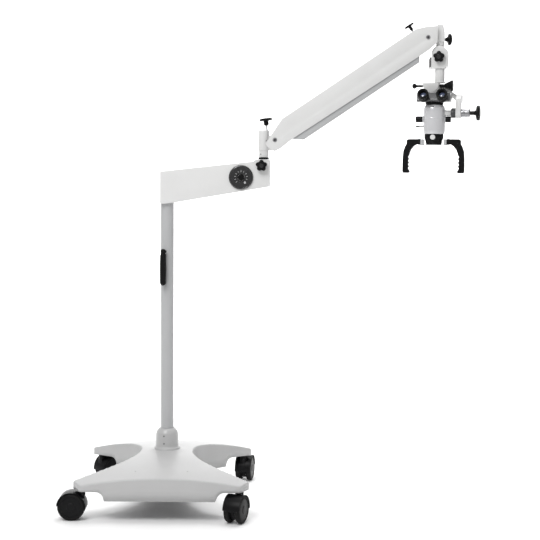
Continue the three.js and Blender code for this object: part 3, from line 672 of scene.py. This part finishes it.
def brightness_knob():
    skirt = turned("dial", [(0, 1.2), (12, 1.2), (12, 9), (10.8, 13.4), (9.6, 14), (0, 14)], "black",
                   PANEL_FACE, 0.8)
    ribs = knurled("rib", 24, 11.6, 12.0, 0.5, 2, 11, "black", PANEL_FACE, 0.1, 0.2)
    line = block("pointer", -0.5, 0.5, 3, 9.5, 13.6, 14.0, "mark", PANEL_FACE, 0, 0.1)
    return fit(joined("dial_knob", skirt, *ribs, line), "brightness_knob", "brightness_knob")


def power_button():
    middle = centre("power_button")
    place = shift(middle.x, -ARM_HALF, middle.z) @ TO_FRONT
    cap = turned("button_cap", [(0, -8), (4.4, -8), (4.4, 11.4), (3.6, 12.4), (0, 12)], "panel", place, 0.5,
                 40)
    return fit(cap, "power_button", "power_button")


def star_knob(name, radius, thickness, place, body, node, shaft):
    """A five-lobed clamping knob, its face towards local +Z."""
    lobes = slab(f"{name}_lobes", lobed(5, radius, 0.26), -thickness, 0, "black",
                 place @ turn(-pi / 2, "X"), 3.2)
    hub = turned(f"{name}_hub", [(0, -8), (9, -8), (10, 1), (0, 1)], "black", place, 0.8, 48)
    cap = turned(f"{name}_cap", [(0, thickness - 1), (8, thickness - 1), (7.6, thickness + 0.4),
        (0, thickness + 0.6)],
                 "gloss", place, 0.4, 48)
    rod = cylinder(f"{name}_rod", 3.9, -shaft, 0, "zinc", place, 0.4, 32)
    return fit(joined(name, lobes, hub, cap, rod), body, node)


def swivel_lock():
    place = STAND @ shift(LOCK.x, -ARM_HALF - 9.5, LOCK.z) @ TO_FRONT
    return star_knob("lock_star_knob", 22, 13, place, "swivel_lock_knob", "swivel_lock_knob", 26)


lower_arm()
bottom_cover()
end_plate()
control_panel()
brightness_knob()
power_button()
swivel_lock()
repaint("power_supply", "steel")


# ---------- first swivel

SWIVEL_X = 364
SWIVEL = STAND @ shift(SWIVEL_X, 0, 0)
PIVOT = REAR_PIVOT - Vector((COLUMN_X, 0, 0))
LINK_DROP = 28


def swivel_washer():
    ring = turned("swivel_ring_seal", [(12.7, 1311.4), (20.2, 1311.4), (20.2, 1318.6), (12.7, 1318.6)],
                  "black",
                  SWIVEL, 0.8, closed=True)
    return fit(ring, "lower_arm", "swivel_washer")


def swivel_head():
    post = turned("post", [(0, 1344), (19.6, 1344), (20, 1346), (20, 1417), (18, 1421), (0, 1421)], "arm",
                  SWIVEL, 1.6)
    ring = cylinder("ring", 18.4, 1319, 1344.6, "arm", SWIVEL, 0.6)
    spindle = cylinder("spindle", 11.9, 1240, 1320, "zinc", SWIVEL, 0.6)
    x, z = PIVOT.x, PIVOT.z
    outline = [(SWIVEL_X, 1346)] + arc(x, z - LINK_DROP, 13, -130, 0, 12) + arc(x, z, 16, 0, 90, 12)
    outline += [(SWIVEL_X, z + 20)]
    tongue = slab("tongue", outline, -9, 9, "arm", STAND, 1)
    carve(tongue, cylinder("hole", HINGE_BORE, -30, 30, "arm", STAND @ shift(x, 0, z) @ ALONG_Y))
    pin = cylinder("stub", 3.7, 8, 18, "zinc",
                 STAND @ shift(x, 0, z - LINK_DROP) @ ALONG_Y, 0.4, 32)
    low_screw = screw("ring_screw", 2.6, SWIVEL @ turn(radians(-38), "Z") @ shift(0, -18.2, 1330)
                      @ TO_FRONT, "dark")
    high_screw = screw("post_screw", 2.6, SWIVEL @ turn(radians(28), "Z") @ shift(0, -19.8, 1381)
                       @ TO_FRONT, "zinc")
    return fit(joined("swivel_post", post, ring, spindle, tongue, pin, low_screw, high_screw), "swivel",
               "swivel_head")


def brake_knob():
    place = STAND @ shift(376, 0, 1421) @ turn(BRAKE_LEAN, "Y")
    knob = turned("brake_handwheel", [(0, 16), (6, 17), (9.5, 21), (9.5, 33), (12, 34.6), (22, 35.6),
        (24.6, 38),
                                      (24.6, 41.6), (21, 45), (0, 46)], "black", place, 1.6)
    rod = cylinder("brake_rod", 2.6, -20, 17, "zinc", place, 0.3, 24)
    grooves = knurled("grip", 32, 24.0, 24.6, 0.6, 38.4, 41.4, "black", place, 0.1, 0.2)
    return fit(joined("brake_handwheel", knob, rod, *grooves), "lift_brake_knob", "lift_brake_knob")


swivel_washer()
swivel_head()
brake_knob()


# ---------- spring arm

END = ARM_LENGTH
COVER_TOP = 51
COVER_HALF, CHEEK = 32, 3
TENSION = ARM @ shift(END - 31, 0, 0)


def arm_cover():
    points = arc(0, 0, 38, 167, 281, 30)
    points += [(60, -33), (END - 22, -41), (END + 19, -35), (END + 53, 15), (END + 19, 35),
               (END - 19, COVER_TOP - 1),
               (END - 33, COVER_TOP), (66, COVER_TOP), (46, COVER_TOP - 8)]
    shell = slab("spring_arm_shell", points, -COVER_HALF, COVER_HALF, "arm", ARM, 0)
    half = COVER_HALF - CHEEK
    hollow = slab("hollow", [(-60, -60), (END + 70, -60), (END + 70, 30), (END + 16, 32),
                             (END - 21, COVER_TOP - 4),
                             (END - 34, COVER_TOP - 3), (66, COVER_TOP - 3), (62, 80), (-60, 80)], -half,
                             half, "arm", ARM, 0)
    slot = slab("slot", [(END + 8, -20), (END + 90, -20), (END + 90, 70), (END + 8, 70)], -19, 19, "arm",
                ARM, 0)
    holes = [cylinder("pin_hole", HINGE_BORE, -50, 50, "arm", ARM @ shift(u, 0, 0) @ ALONG_Y)
             for u in (0, END)]
    tension = cylinder("tension_hole", 4.4, 20, 70, "arm", TENSION)
    carve(shell, hollow, slot, *holes, tension)
    round_edges(shell, 1.3)
    return fit(shell, "spring_arm", "spring_arm_cover")


def arm_rail():
    stop = END - 61
    half = COVER_HALF - CHEEK - 2
    outline = rounded([(50, -27), (92, -60), (stop - 15, -60), (stop, -36), (stop, -27)], 3)
    rail = slab("rail_tray", outline, -half, half, "panel", ARM, 0)
    hollow = slab("tray_hollow", [(40, -20), (40, -57.5), (stop + 20, -57.5), (stop + 20, -20)],
                  -half + 2.5, half - 2.5, "panel", ARM, 0)
    carve(rail, hollow)
    round_edges(rail, 0.9)
    return fit(rail, "spring_arm", "spring_arm_rail")


def balance_spring():
    """A real coil on a rod, drawn in place of the ribbed sleeve."""
    curve = bpy.data.curves.new("coil", "CURVE")
    curve.dimensions = "3D"
    curve.bevel_depth = 1.9 * MM
    curve.bevel_resolution = 2
    spline = curve.splines.new("POLY")
    turns, per_turn = 48, 16
    spline.points.add(turns * per_turn)
    for k in range(turns * per_turn + 1):
        angle = 2 * pi * k / per_turn
        point = ARM @ Vector((124 + 422 * k / (turns * per_turn), 15.5 * cos(angle),
                              12 + 15.5 * sin(angle)))
        spline.points[k].co = (*(point * MM), 1)
    coil = bpy.data.objects.new("coil", curve)
    bpy.context.scene.collection.objects.link(coil)
    mesh = bpy.data.meshes.new_from_object(coil.evaluated_get(bpy.context.evaluated_depsgraph_get()))
    bpy.data.objects.remove(coil)
    mesh.materials.clear()
    mesh.materials.append(MATERIALS["zinc"])
    wire = bpy.data.objects.new("spring_coil", mesh)
    wire["look"] = "zinc"
    bpy.context.scene.collection.objects.link(wire)
    rod = cylinder("guide_rod", 9, 121, 549, "zinc", ARM @ shift(0, 0, 12) @ ALONG_X, 1, 32)
    return fit(joined("spring_coil", wire, rod), "spring_arm", "balance_spring")


def tension_knob():
    place = TENSION
    knob = turned("tension_handwheel", [(0, 55), (6, 56), (6, 69), (9, 71), (18, 72), (19, 73.4),
        (19, 76.6), (16.5, 79.3),
                                        (0, 79.5)], "black", place, 1)
    rod = cylinder("tension_rod", 4, 44, 57, "zinc", place, 0.4, 32)
    return fit(joined("tension_handwheel", knob, rod), "spring_tension_knob", "spring_tension_knob")


def pivot_pin(name, spot, body, node):
    profile = [(0, -34), (7.6, -34), (8, -33.4), (8, -32.2), (6, -32.2), (6, 32.2), (8, 32.2), (8, 33.4),
               (7.6, 34), (0, 34)]
    pin = turned(name, profile, "zinc", shift(*spot) @ ALONG_Y, 0.3, 48)
    # each pin end gets a thin dark hexagonal disc: painted shade standing in for the socket hole
    painted_socket_shades = [cylinder(f"{name}_socket_{side}", 3.4, 33.9, 34.0, "dark",
                      shift(*spot) @ ALONG_Y @ facing(side), 0, 6) for side in (-1, 1)]
    return fit(joined(name, pin, *painted_socket_shades), body, node)


def parallel_link():
    lower = shift(REAR_PIVOT.x, 0, REAR_PIVOT.z - LINK_DROP) @ turn(-ARM_ANGLE, "Y")
    bar_outline = [(4, -5.5), (END - 4, -5.5), (END - 4, 5.5), (4, 5.5)]
    rod = slab("link_bar", bar_outline, 9.7, 15.5, "zinc", lower, 0)
    eyes = [turned(f"eye_{u}", [(4.4, 9.6), (9, 9.6), (9, 15.6), (4.4, 15.6)], "zinc",
                   lower @ shift(u, 0, 0) @ ALONG_Y, 0.4, 40, closed=True) for u in (0, END)]
    holes = [cylinder("link_hole", 6, 0, 30, "zinc", lower @ shift(u, 0, 0) @ ALONG_Y, 0, 24)
             for u in (0, END)]
    carve(rod, *holes)
    return fit(joined("link_bar", rod, *eyes), "parallel_link", "parallel_link")


arm_cover()
arm_rail()
balance_spring()
tension_knob()
pivot_pin("rear_hinge_pin", REAR_PIVOT, "swivel", "rear_pivot_pin")
pivot_pin("front_hinge_pin", FRONT_PIVOT, "end_housing", "front_pivot_pin")
parallel_link()


# ---------- end housing

TIP = STAND @ shift(HEAD_X, 0, 0)
NOSE = FRONT_PIVOT - Vector((COLUMN_X + HEAD_X, 0, 0))


def end_housing():
    outline = rounded([(-13, 1753.3), (15, 1753.3), (14.6, 1790), (9, 1816), (4, 1818), (-13, 1818)], 3)
    cap = slab("cap", outline, -15, 15, "arm", TIP, 2.2)
    points = [(-8, 1792), (NOSE.x, NOSE.z + 24)] + arc(NOSE.x, NOSE.z, 24, 90, 180, 16)
    points += arc(NOSE.x, NOSE.z - LINK_DROP, 13, 180, 270, 12)
    points += [(NOSE.x + 8, NOSE.z - LINK_DROP - 13), (-22, 1754), (-8, 1754)]
    arm = slab("nose", points, -9, 9, "arm", TIP, 1)
    carve(arm, cylinder("hole", HINGE_BORE, -30, 30, "arm", TIP @ shift(NOSE.x, 0, NOSE.z) @ ALONG_Y))
    pin = cylinder("stub", 4, 8, 18, "zinc", TIP @ shift(NOSE.x, 0, NOSE.z - LINK_DROP) @ ALONG_Y,
                 0.4, 32)
    carve(cap, cylinder("bore", SHAFT_BORE, 1740, 1806, "arm", TIP, 0, 48))
    return fit(joined("end_knuckle", cap, arm, pin), "end_housing", "end_housing")


def head_lock_knob():
    place = TIP @ shift(0, 0, 1764) @ ALONG_X
    knob = turned("lock_handwheel", [(0, 17), (7, 18), (8, 24), (13, 27), (20, 29), (21.8, 31.5),
        (21.8, 36),
                                     (19, 40.5), (10, 44), (0, 45)], "black", place, 3)
    rod = cylinder("lock_rod", 4, 10, 18, "zinc", place, 0.4, 32)
    return fit(joined("lock_handwheel", knob, rod), "head_lock_knob", "head_lock_knob")


end_housing()
head_lock_knob()


# ---------- head frame

def yaw_fork():
    spindle = turned("spindle", [(0, 1745), (7.9, 1745), (7.9, 1799), (0, 1800)], "zinc", HEAD, 0.6, 48)
    ring = turned("ring", [(0, 1740), (15.4, 1740), (15.8, 1741), (15.8, 1751.6), (15, 1752.7),
                           (0, 1752.7)], "arm", HEAD, 1)
    outline = [(15, 1741), (-15, 1741), (-15, INCLINE_Z + 12)] + arc(0, INCLINE_Z, 19, 144, 396,
        28) + [(15, INCLINE_Z + 12)]
    tongue = slab("tongue", outline, -10, 10, "arm", HEAD, 1)
    carve(tongue, cylinder("hole", BOLT_BORE, -30, 30, "arm", HEAD @ shift(0, 0, INCLINE_Z) @ ALONG_Y))
    return fit(joined("yaw_spindle_fork", spindle, ring, tongue), "yaw_fork", "yaw_fork")


def inclination_housing():
    outline = [(-30, 1659), (30, 1659)] + arc(0, 1709, 30, 0, 180, 36)
    body = slab("yoke", outline, -24, 24, "arm", HEAD, 0)
    slot = slab("slot", [(-60, 1668), (60, 1668), (60, 1760), (-60, 1760)], -10.4, 10.4, "arm", HEAD, 0)
    hole = cylinder("hole", BOLT_BORE, -60, 60, "arm", HEAD @ shift(0, 0, INCLINE_Z) @ ALONG_Y)
    carve(body, slot, hole)
    round_edges(body, 2.0)
    ledge = block("ledge", -42, 23, -24, 24, 1654, 1660, "arm", HEAD, 1.4)
    fin = block("fin", -42, -38, -14, 18, 1655, 1690, "arm", HEAD, 1)
    foot = block("fin_foot", -42, -28, 12, 18, 1655, 1700, "arm", HEAD, 1)
    return fit(joined("inclination_yoke", body, ledge, fin, foot), "head_frame", "inclination_housing")


def neck_carrier():
    outline = [(-0.5, 1602.7), (-61.5, 1602.7)] + arc(-31, 1598, 30.5, 180, 360, 40)
    shield = slab("shield", outline, -18, 24, "arm", HEAD, 2.4)
    neck = turned("neck", [(15.6, 1604), (18.6, 1600), (18.6, 1653.6), (15.6, 1653.6)], "arm", HEAD, 0.8,
                  closed=True)
    collar_ring = turned("neck_foot", [(17, 1602.6), (20.4, 1602.6), (20.4, 1605), (18.6, 1607),
        (17, 1607)], "arm", HEAD,
                         0.6, closed=True)
    return fit(joined("carrier_shield", shield, neck, collar_ring), "head_frame", "neck_carrier")


def inclination_knob():
    place = HEAD @ shift(0, -32, INCLINE_Z) @ TO_FRONT
    return star_knob("incline_star_knob", 21.5, 14, place, "inclination_knob", "inclination_knob", 50)


def carrier_release():
    place = HEAD @ shift(0, 0, CARRIER_Z) @ ALONG_X
    knob = turned("release_grip", [(0, -103), (6, -102.6), (10, -98), (10, -93), (7, -88), (4.5, -86),
        (4.5, -70), (4, -68),
                                   (4, -50), (0, -50)], "black", place, 1.6, 48)
    return fit(knob, "carrier_release_knob", "carrier_release_knob")


def carrier_clamp():
    place = HEAD @ shift(0, 0, CARRIER_Z) @ ALONG_X
    knob = turned("clamp_grip", [(0, 0.6), (7, 0.8), (7, 19), (9.5, 21), (20, 43), (21.5, 44.4),
        (21.5, 48.6),
                                 (18, 51), (0, 51)], "black", place, 1.4)
    rod = cylinder("clamp_rod", 4, -30, 1, "zinc", place, 0.4, 32)
    return fit(joined("clamp_grip", knob, rod), "carrier_clamp_knob", "carrier_clamp_knob")


yaw_fork()
inclination_housing()
neck_carrier()
inclination_knob()
carrier_release()
carrier_clamp()


# ---------- tilt bracket and drive

TILT = HEAD @ shift(0, OPTIC_Y, TILT_Z) @ ALONG_X


def tilt_bracket():
    back_outline = rounded([(-50, 1552), (46, 1548), (60, 1535), (87, 1535), (87, 1548), (80, 1557),
                            (64, 1558),
                            (-5, 1600), (-50, 1600)], 6)
    back = slab("back_plate", back_outline, 24.3, 34, "arm", HEAD, 2)
    leg_outline = [(34, 1535), (34, 1557), (-30, 1557), (-60, 1540), (OPTIC_Y - 20, TILT_Z)]
    leg_outline += arc(OPTIC_Y, TILT_Z, 20, 180, 360, 30) + [(OPTIC_Y + 22, 1525)]
    leg = slab("leg", rounded(leg_outline, 3), 67, 87, "arm", ACROSS, 0)
    carve(leg, cylinder("hole", SHAFT_BORE, 50, 100, "arm", TILT, 0, 48))
    round_edges(leg, 3.4, 40, 4)
    return fit(joined("tilt_arm", back, leg), "head_frame", "tilt_bracket")


def friction_collar():
    """A knurled ring: fine ribs along its axis."""
    sleeve = turned("knurled_ring", [(8.4, 49.9), (17, 49.9), (17.6, 51), (17.6, 65.6), (17, 66.7),
        (8.4, 66.7)], "bino",
                    TILT, 0.6, closed=True)
    ribs = knurled("knurl", 48, 17.2, 18.4, 0.55, 51.6, 65.2, "bino", TILT, 0.2, 0.3)
    return fit(joined("knurled_ring", sleeve, *ribs), "head_frame", "tilt_friction_collar")


def drive_housing():
    body = turned("drive_barrel", [(8.4, 87.3), (14, 87.3), (15.1, 88.6), (15.1, 100), (14.6, 100.4),
        (14.6, 101.2),
                                   (15.1, 101.6), (15.1, 117), (13, 120.5), (8.4, 120.5)], "steel", TILT,
                                   0.5, closed=True)
    return fit(body, "head_frame", "tilt_drive_housing")


def tilt_knob():
    body = turned("tilt_handwheel", [(0, 121), (7.6, 121), (7.6, 136), (11, 141), (24, 143), (27.4, 144.4),
        (28.3, 147),
                                     (28.3, 152), (26, 156), (20, 157.5), (6, 156.6), (0, 156.6)], "black",
                                     TILT, 2.4, 96)
    return fit(body, "tilt_knob", "tilt_knob")


tilt_bracket()
friction_collar()
drive_housing()
tilt_knob()


# ---------- microscope body

def scope_body():
    profile = [(32, 1410), (39.5, 1410), (41.2, 1421), (41.5, 1424), (41.5, 1469.4), (40.9, 1470),
               (40.9, 1470.8),
               (41.5, 1471.4), (41.5, 1498), (39.6, 1508), (34, 1517), (33, 1518), (22, 1518), (22, 1506),
               (32, 1498)]
    barrel = turned("barrel", profile, "scope", OPTIC, 1.4, 128, closed=True)
    boss = turned("boss", [(0, 34), (10.8, 24), (10.8, 48.6), (10, 49.6), (0, 49.6)], "arm", TILT, 0.8)
    shaft = cylinder("shaft", 8, 49, 119, "steel", TILT, 0.6, 48)
    front_screw = screw("ring_screw", 2.4, OPTIC @ shift(0, -38.2, 1511) @ turn(radians(60), "X"), "dark")
    carve(boss, cylinder("inside", 38, 1460, 1510, "arm", OPTIC))
    bezels = []
    for side in (-1, 1):
        place = OPTIC @ shift(0, 0, MAGNIFIER_Z) @ ALONG_X @ facing(side)
        bezels.append(turned(f"bezel_{side}", [(6.9, 38), (13.4, 38), (13.4, 42), (12.6, 42.9),
            (6.9, 42.9)], "panel", place,
                             0.5, closed=True))
    return fit(joined("scope_barrel", barrel, boss, shaft, front_screw, *bezels), "microscope",
               "scope_body")


def dovetail_ring():
    ring = turned("binocular_ring", [(22, 1518.3), (30.6, 1518.3), (34, 1521.4), (34, 1526.2), (33.2, 1527),
        (22, 1527)],
                  "black", OPTIC, 0.5, closed=True)
    return fit(ring, "microscope", "dovetail_ring")


def magnification(side, reach):
    name = SIDE_NAME[side]
    place = OPTIC @ shift(0, 0, MAGNIFIER_Z) @ ALONG_X @ facing(side)
    knob = turned(f"zoom_grip_{name}", [(0, 43.4), (10, 43.4), (11.2, 44.6), (11.2, reach - 2), (10, reach),
        (0, reach)], "black",
                  place, 0.8)
    ribs = knurled(f"zoom_rib_{name}", 36, 10.9, 11.3, 0.4, 46, reach - 3, "black", place, 0.1, 0.15)
    return fit(joined(f"zoom_grip_{name}", knob, *ribs), "magnification_drum", f"magnification_knob_{name}")


def filter_lever():
    place = OPTIC @ shift(0, 0, 1439) @ ALONG_X
    lever = turned("filter_pin", [(0, -70), (2.4, -69.6), (3, -68), (3, -56), (2.2, -55), (2.2, -30),
        (0, -30)], "dark",
                   place, 0.6, 32)
    return fit(lever, "filter_lever", "filter_lever")


scope_body()
dovetail_ring()
magnification(-1, 69)
magnification(1, 62.3)
filter_lever()
repaint("magnification_drum", "zinc")


# ---------- objective

FOCUS = OPTIC @ shift(0, 0, 1398) @ TO_FRONT


def objective_housing():
    profile = [(25, 1371.4), (28.6, 1371.4), (29.4, 1373), (30.2, 1379), (31, 1381.6), (30.4, 1382.2),
               (31.6, 1384.4),
               (35.2, 1395), (36, 1398), (36, 1409.6), (25, 1409.6)]
    body = turned("objective_barrel", profile, "black", OPTIC, 0.8, 96, closed=True)
    carve(body, cylinder("hole", 4.4, 20, 60, "black",
                       FOCUS, 0, 32))
    return fit(body, "microscope", "objective_housing")


def objective_lens():
    lens = turned("objective_glass", [(0, 1377.2), (12, 1377.8), (23, 1379.4), (24.5, 1381), (24.5, 1385),
        (12, 1387.2),
                                      (0, 1387.8)], "glass", OPTIC, 1.5, 96)
    return fit(lens, "objective_lens", "objective_lens")


def focus_knob():
    place = FOCUS
    knob = turned("focus_button", [(0, 26), (4, 26), (4, 36.6), (9, 36.6), (9.5, 37.4), (9.5, 40),
        (8.2, 41.7), (0, 42)],
                  "arm", place, 0.8)
    return fit(knob, "focus_knob", "focus_knob")


# ---------- hand grips

def handle_bridge():
    ring = turned("bridge_ring", [(25.2, 1367.2), (31, 1367.2), (31, 1370.9), (25.2, 1370.9)], "panel",
                  OPTIC, 0.5,
                  closed=True)
    parts = [ring]
    for side in (-1, 1):
        inner, outer = sorted((side * 38, side * 48.9))
        parts.append(block(f"post_{side}", inner, outer, -14, 14, 1367.2, 1391, "panel", OPTIC, 1.6))
        inner, outer = sorted((side * 30, side * 40))
        parts.append(block(f"strap_{side}", inner, outer, -14, 14, 1367.2, 1370.9, "panel", OPTIC, 0.5,
                           0.5))
    return fit(joined("grip_bridge", *parts), "microscope", "handle_bridge")


def hand_grip(side):
    """An arm out along X that turns down, with four finger grooves on its inner side."""
    name = SIDE_NAME[side]
    points = [(49.5, 1391), (94, 1391), (101, 1387), (101.6, 1372), (108, 1361), (113, 1345), (115, 1325),
              (115.6, 1300),
              (115.8, 1270), (113, 1264.2), (92, 1264.2), (88.6, 1269)]
    grooves, steps = 4, 10
    points += [(91.6 + 3.6 * abs(sin(pi * i / steps)), 1275 + 56 * i / (grooves * steps))
               for i in range(grooves * steps + 1)]
    points += [(90, 1339), (84, 1353), (74, 1365), (64, 1371), (49.5, 1371)]
    place = OPTIC @ Matrix.Diagonal((side, 1, 1, 1))
    grip = slab(f"grip_{name}", rounded(points, 5), -11, 11, "black", place, 0)
    round_edges(grip, 6.5, 40, 6)
    clamp = turned(f"grip_clamp_{name}", [(10.2, 49.6), (11.4, 49.6), (11.4, 58), (10.2, 58.6)], "black",
                   place @ shift(0, 0, 1381) @ ALONG_X, 0.4, closed=True)
    return fit(joined(f"grip_{name}", grip, clamp), f"handle_{name}", f"handle_{name}")


objective_housing()
objective_lens()
focus_knob()
handle_bridge()
hand_grip(-1)
hand_grip(1)


# ---------- binocular head

EYE_SPACING, EYE_FOOT_Y, EYE_FOOT_Z = 69.6, -83.2, 1541


def binocular_housing():
    outline = [(-14, 1527.4), (-72, 1527.4), (-84, 1530), (-86, 1535), (-73.6, 1561.5), (-70, 1563),
               (-20, 1562), (-14, 1556)]
    body = slab("binocular_box", rounded(outline, 2), OPTIC_X - 62, OPTIC_X + 62, "bino", ACROSS, 0)
    round_edges(body, 5, 50, 5)
    return fit(body, "microscope", "binocular_housing")


def eye_place(side):
    return HEAD @ shift(OPTIC_X + side * EYE_SPACING / 2, EYE_FOOT_Y, EYE_FOOT_Z) @ turn(pi / 2 - EYE_TILT,
        "X")


def eyepiece(side):
    name = SIDE_NAME[side]
    place = eye_place(side)
    tube = turned(f"eye_tube_{name}", [(11, 0.5), (16.5, 0.5), (16.5, 13.2), (14.8, 14), (14.8, 28),
        (11, 28)], "black", place, 0.5,
                  closed=True)
    lens = turned(f"eye_lens_{name}", [(0, 21), (11, 21), (11, 24), (6, 25.6), (0, 26.2)], "glass", place,
                  0.6)
    ring = turned(f"eye_ring_{name}", [(15.6, 9), (16.9, 9), (16.9, 11), (15.6, 11)], "zinc", place, 0.2,
                  closed=True)
    return fit(joined(f"eye_tube_{name}", tube, lens, ring), f"eyepiece_{name}", f"eyepiece_{name}")


def eyecup(side):
    name = SIDE_NAME[side]
    profile = [(15.4, 14.3), (20, 14.3), (21, 16), (21, 22), (20.4, 23), (21, 24), (21, 37), (19.4, 41.4),
               (16.4, 42),
               (13.2, 39.5), (12, 34), (12, 28.4), (15.4, 28.4)]
    cup = turned(f"eye_cup_{name}", profile, "rubber", eye_place(side), 0.9, 96, closed=True)
    return fit(cup, f"eyecup_{name}", f"eyecup_{name}")


binocular_housing()
for eye in (-1, 1):
    eyepiece(eye)
    eyecup(eye)


# ---------- camera, light and floor

def camera():
    data = bpy.data.cameras.new("camera")
    data.lens = 86.4
    data.sensor_width = 36
    data.clip_end = 60
    thing = bpy.data.objects.new("camera", data)
    look_down = radians(4.76)
    roll = radians(0.42)
    thing.matrix_world = (Matrix.Translation((-0.005, -4.917, 1.301)) @ turn(pi / 2 - look_down, "X")
                          @ turn(roll, "Z"))
    bpy.context.scene.collection.objects.link(thing)
    bpy.context.scene.camera = thing


def softbox(name, spot, size, power, target=(0, 0, 1.0)):
    data = bpy.data.lights.new(name, "AREA")
    data.size = size
    data.energy = power
    lamp = bpy.data.objects.new(name, data)
    lamp.location = spot
    lamp.rotation_euler = (Vector(target) - Vector(spot)).to_track_quat("-Z", "Y").to_euler()
    bpy.context.scene.collection.objects.link(lamp)


def studio():
    world = bpy.data.worlds.new("studio")
    world.use_nodes = True
    world.node_tree.nodes["Background"].inputs["Color"].default_value = (1, 1, 1, 1)
    world.node_tree.nodes["Background"].inputs["Strength"].default_value = 0.5
    bpy.context.scene.world = world
    softbox("key", (-1.6, -3.0, 4.2), 2.0, 125)
    softbox("top", (0.3, 0.6, 4.6), 2.4, 70)
    softbox("backdrop", (0, 2.5, 6.0), 4.0, 900, (0, 9, 3))


SWEEP = 4                        # metres


def floor():
    """A pale floor that sweeps up behind the object, so that no horizon shows."""
    sweep = [(-14, 0), (5, 0)]
    sweep += [(5 + SWEEP * sin(a), SWEEP * (1 - cos(a)))
              for a in (pi / 2 * k / 24 for k in range(1, 25))]
    sweep.append((5 + SWEEP, 16))
    work = bmesh.new()
    rows = [[work.verts.new((x, y, z)) for x in (-18, 18)] for y, z in sweep]
    for one, two in zip(rows, rows[1:]):
        work.faces.new((one[0], one[1], two[1], two[0])).smooth = True
    mesh = bpy.data.meshes.new("floor")
    work.to_mesh(mesh)
    work.free()
    mesh.materials.append(surface("pale_floor", (0.96, 0.96, 0.96), 0.9, bump=0.02, drift=0.01))
    plane = bpy.data.objects.new("floor", mesh)
    bpy.context.scene.collection.objects.link(plane)


camera()
studio()
floor()
bpy.context.scene.view_settings.view_transform = "Standard"
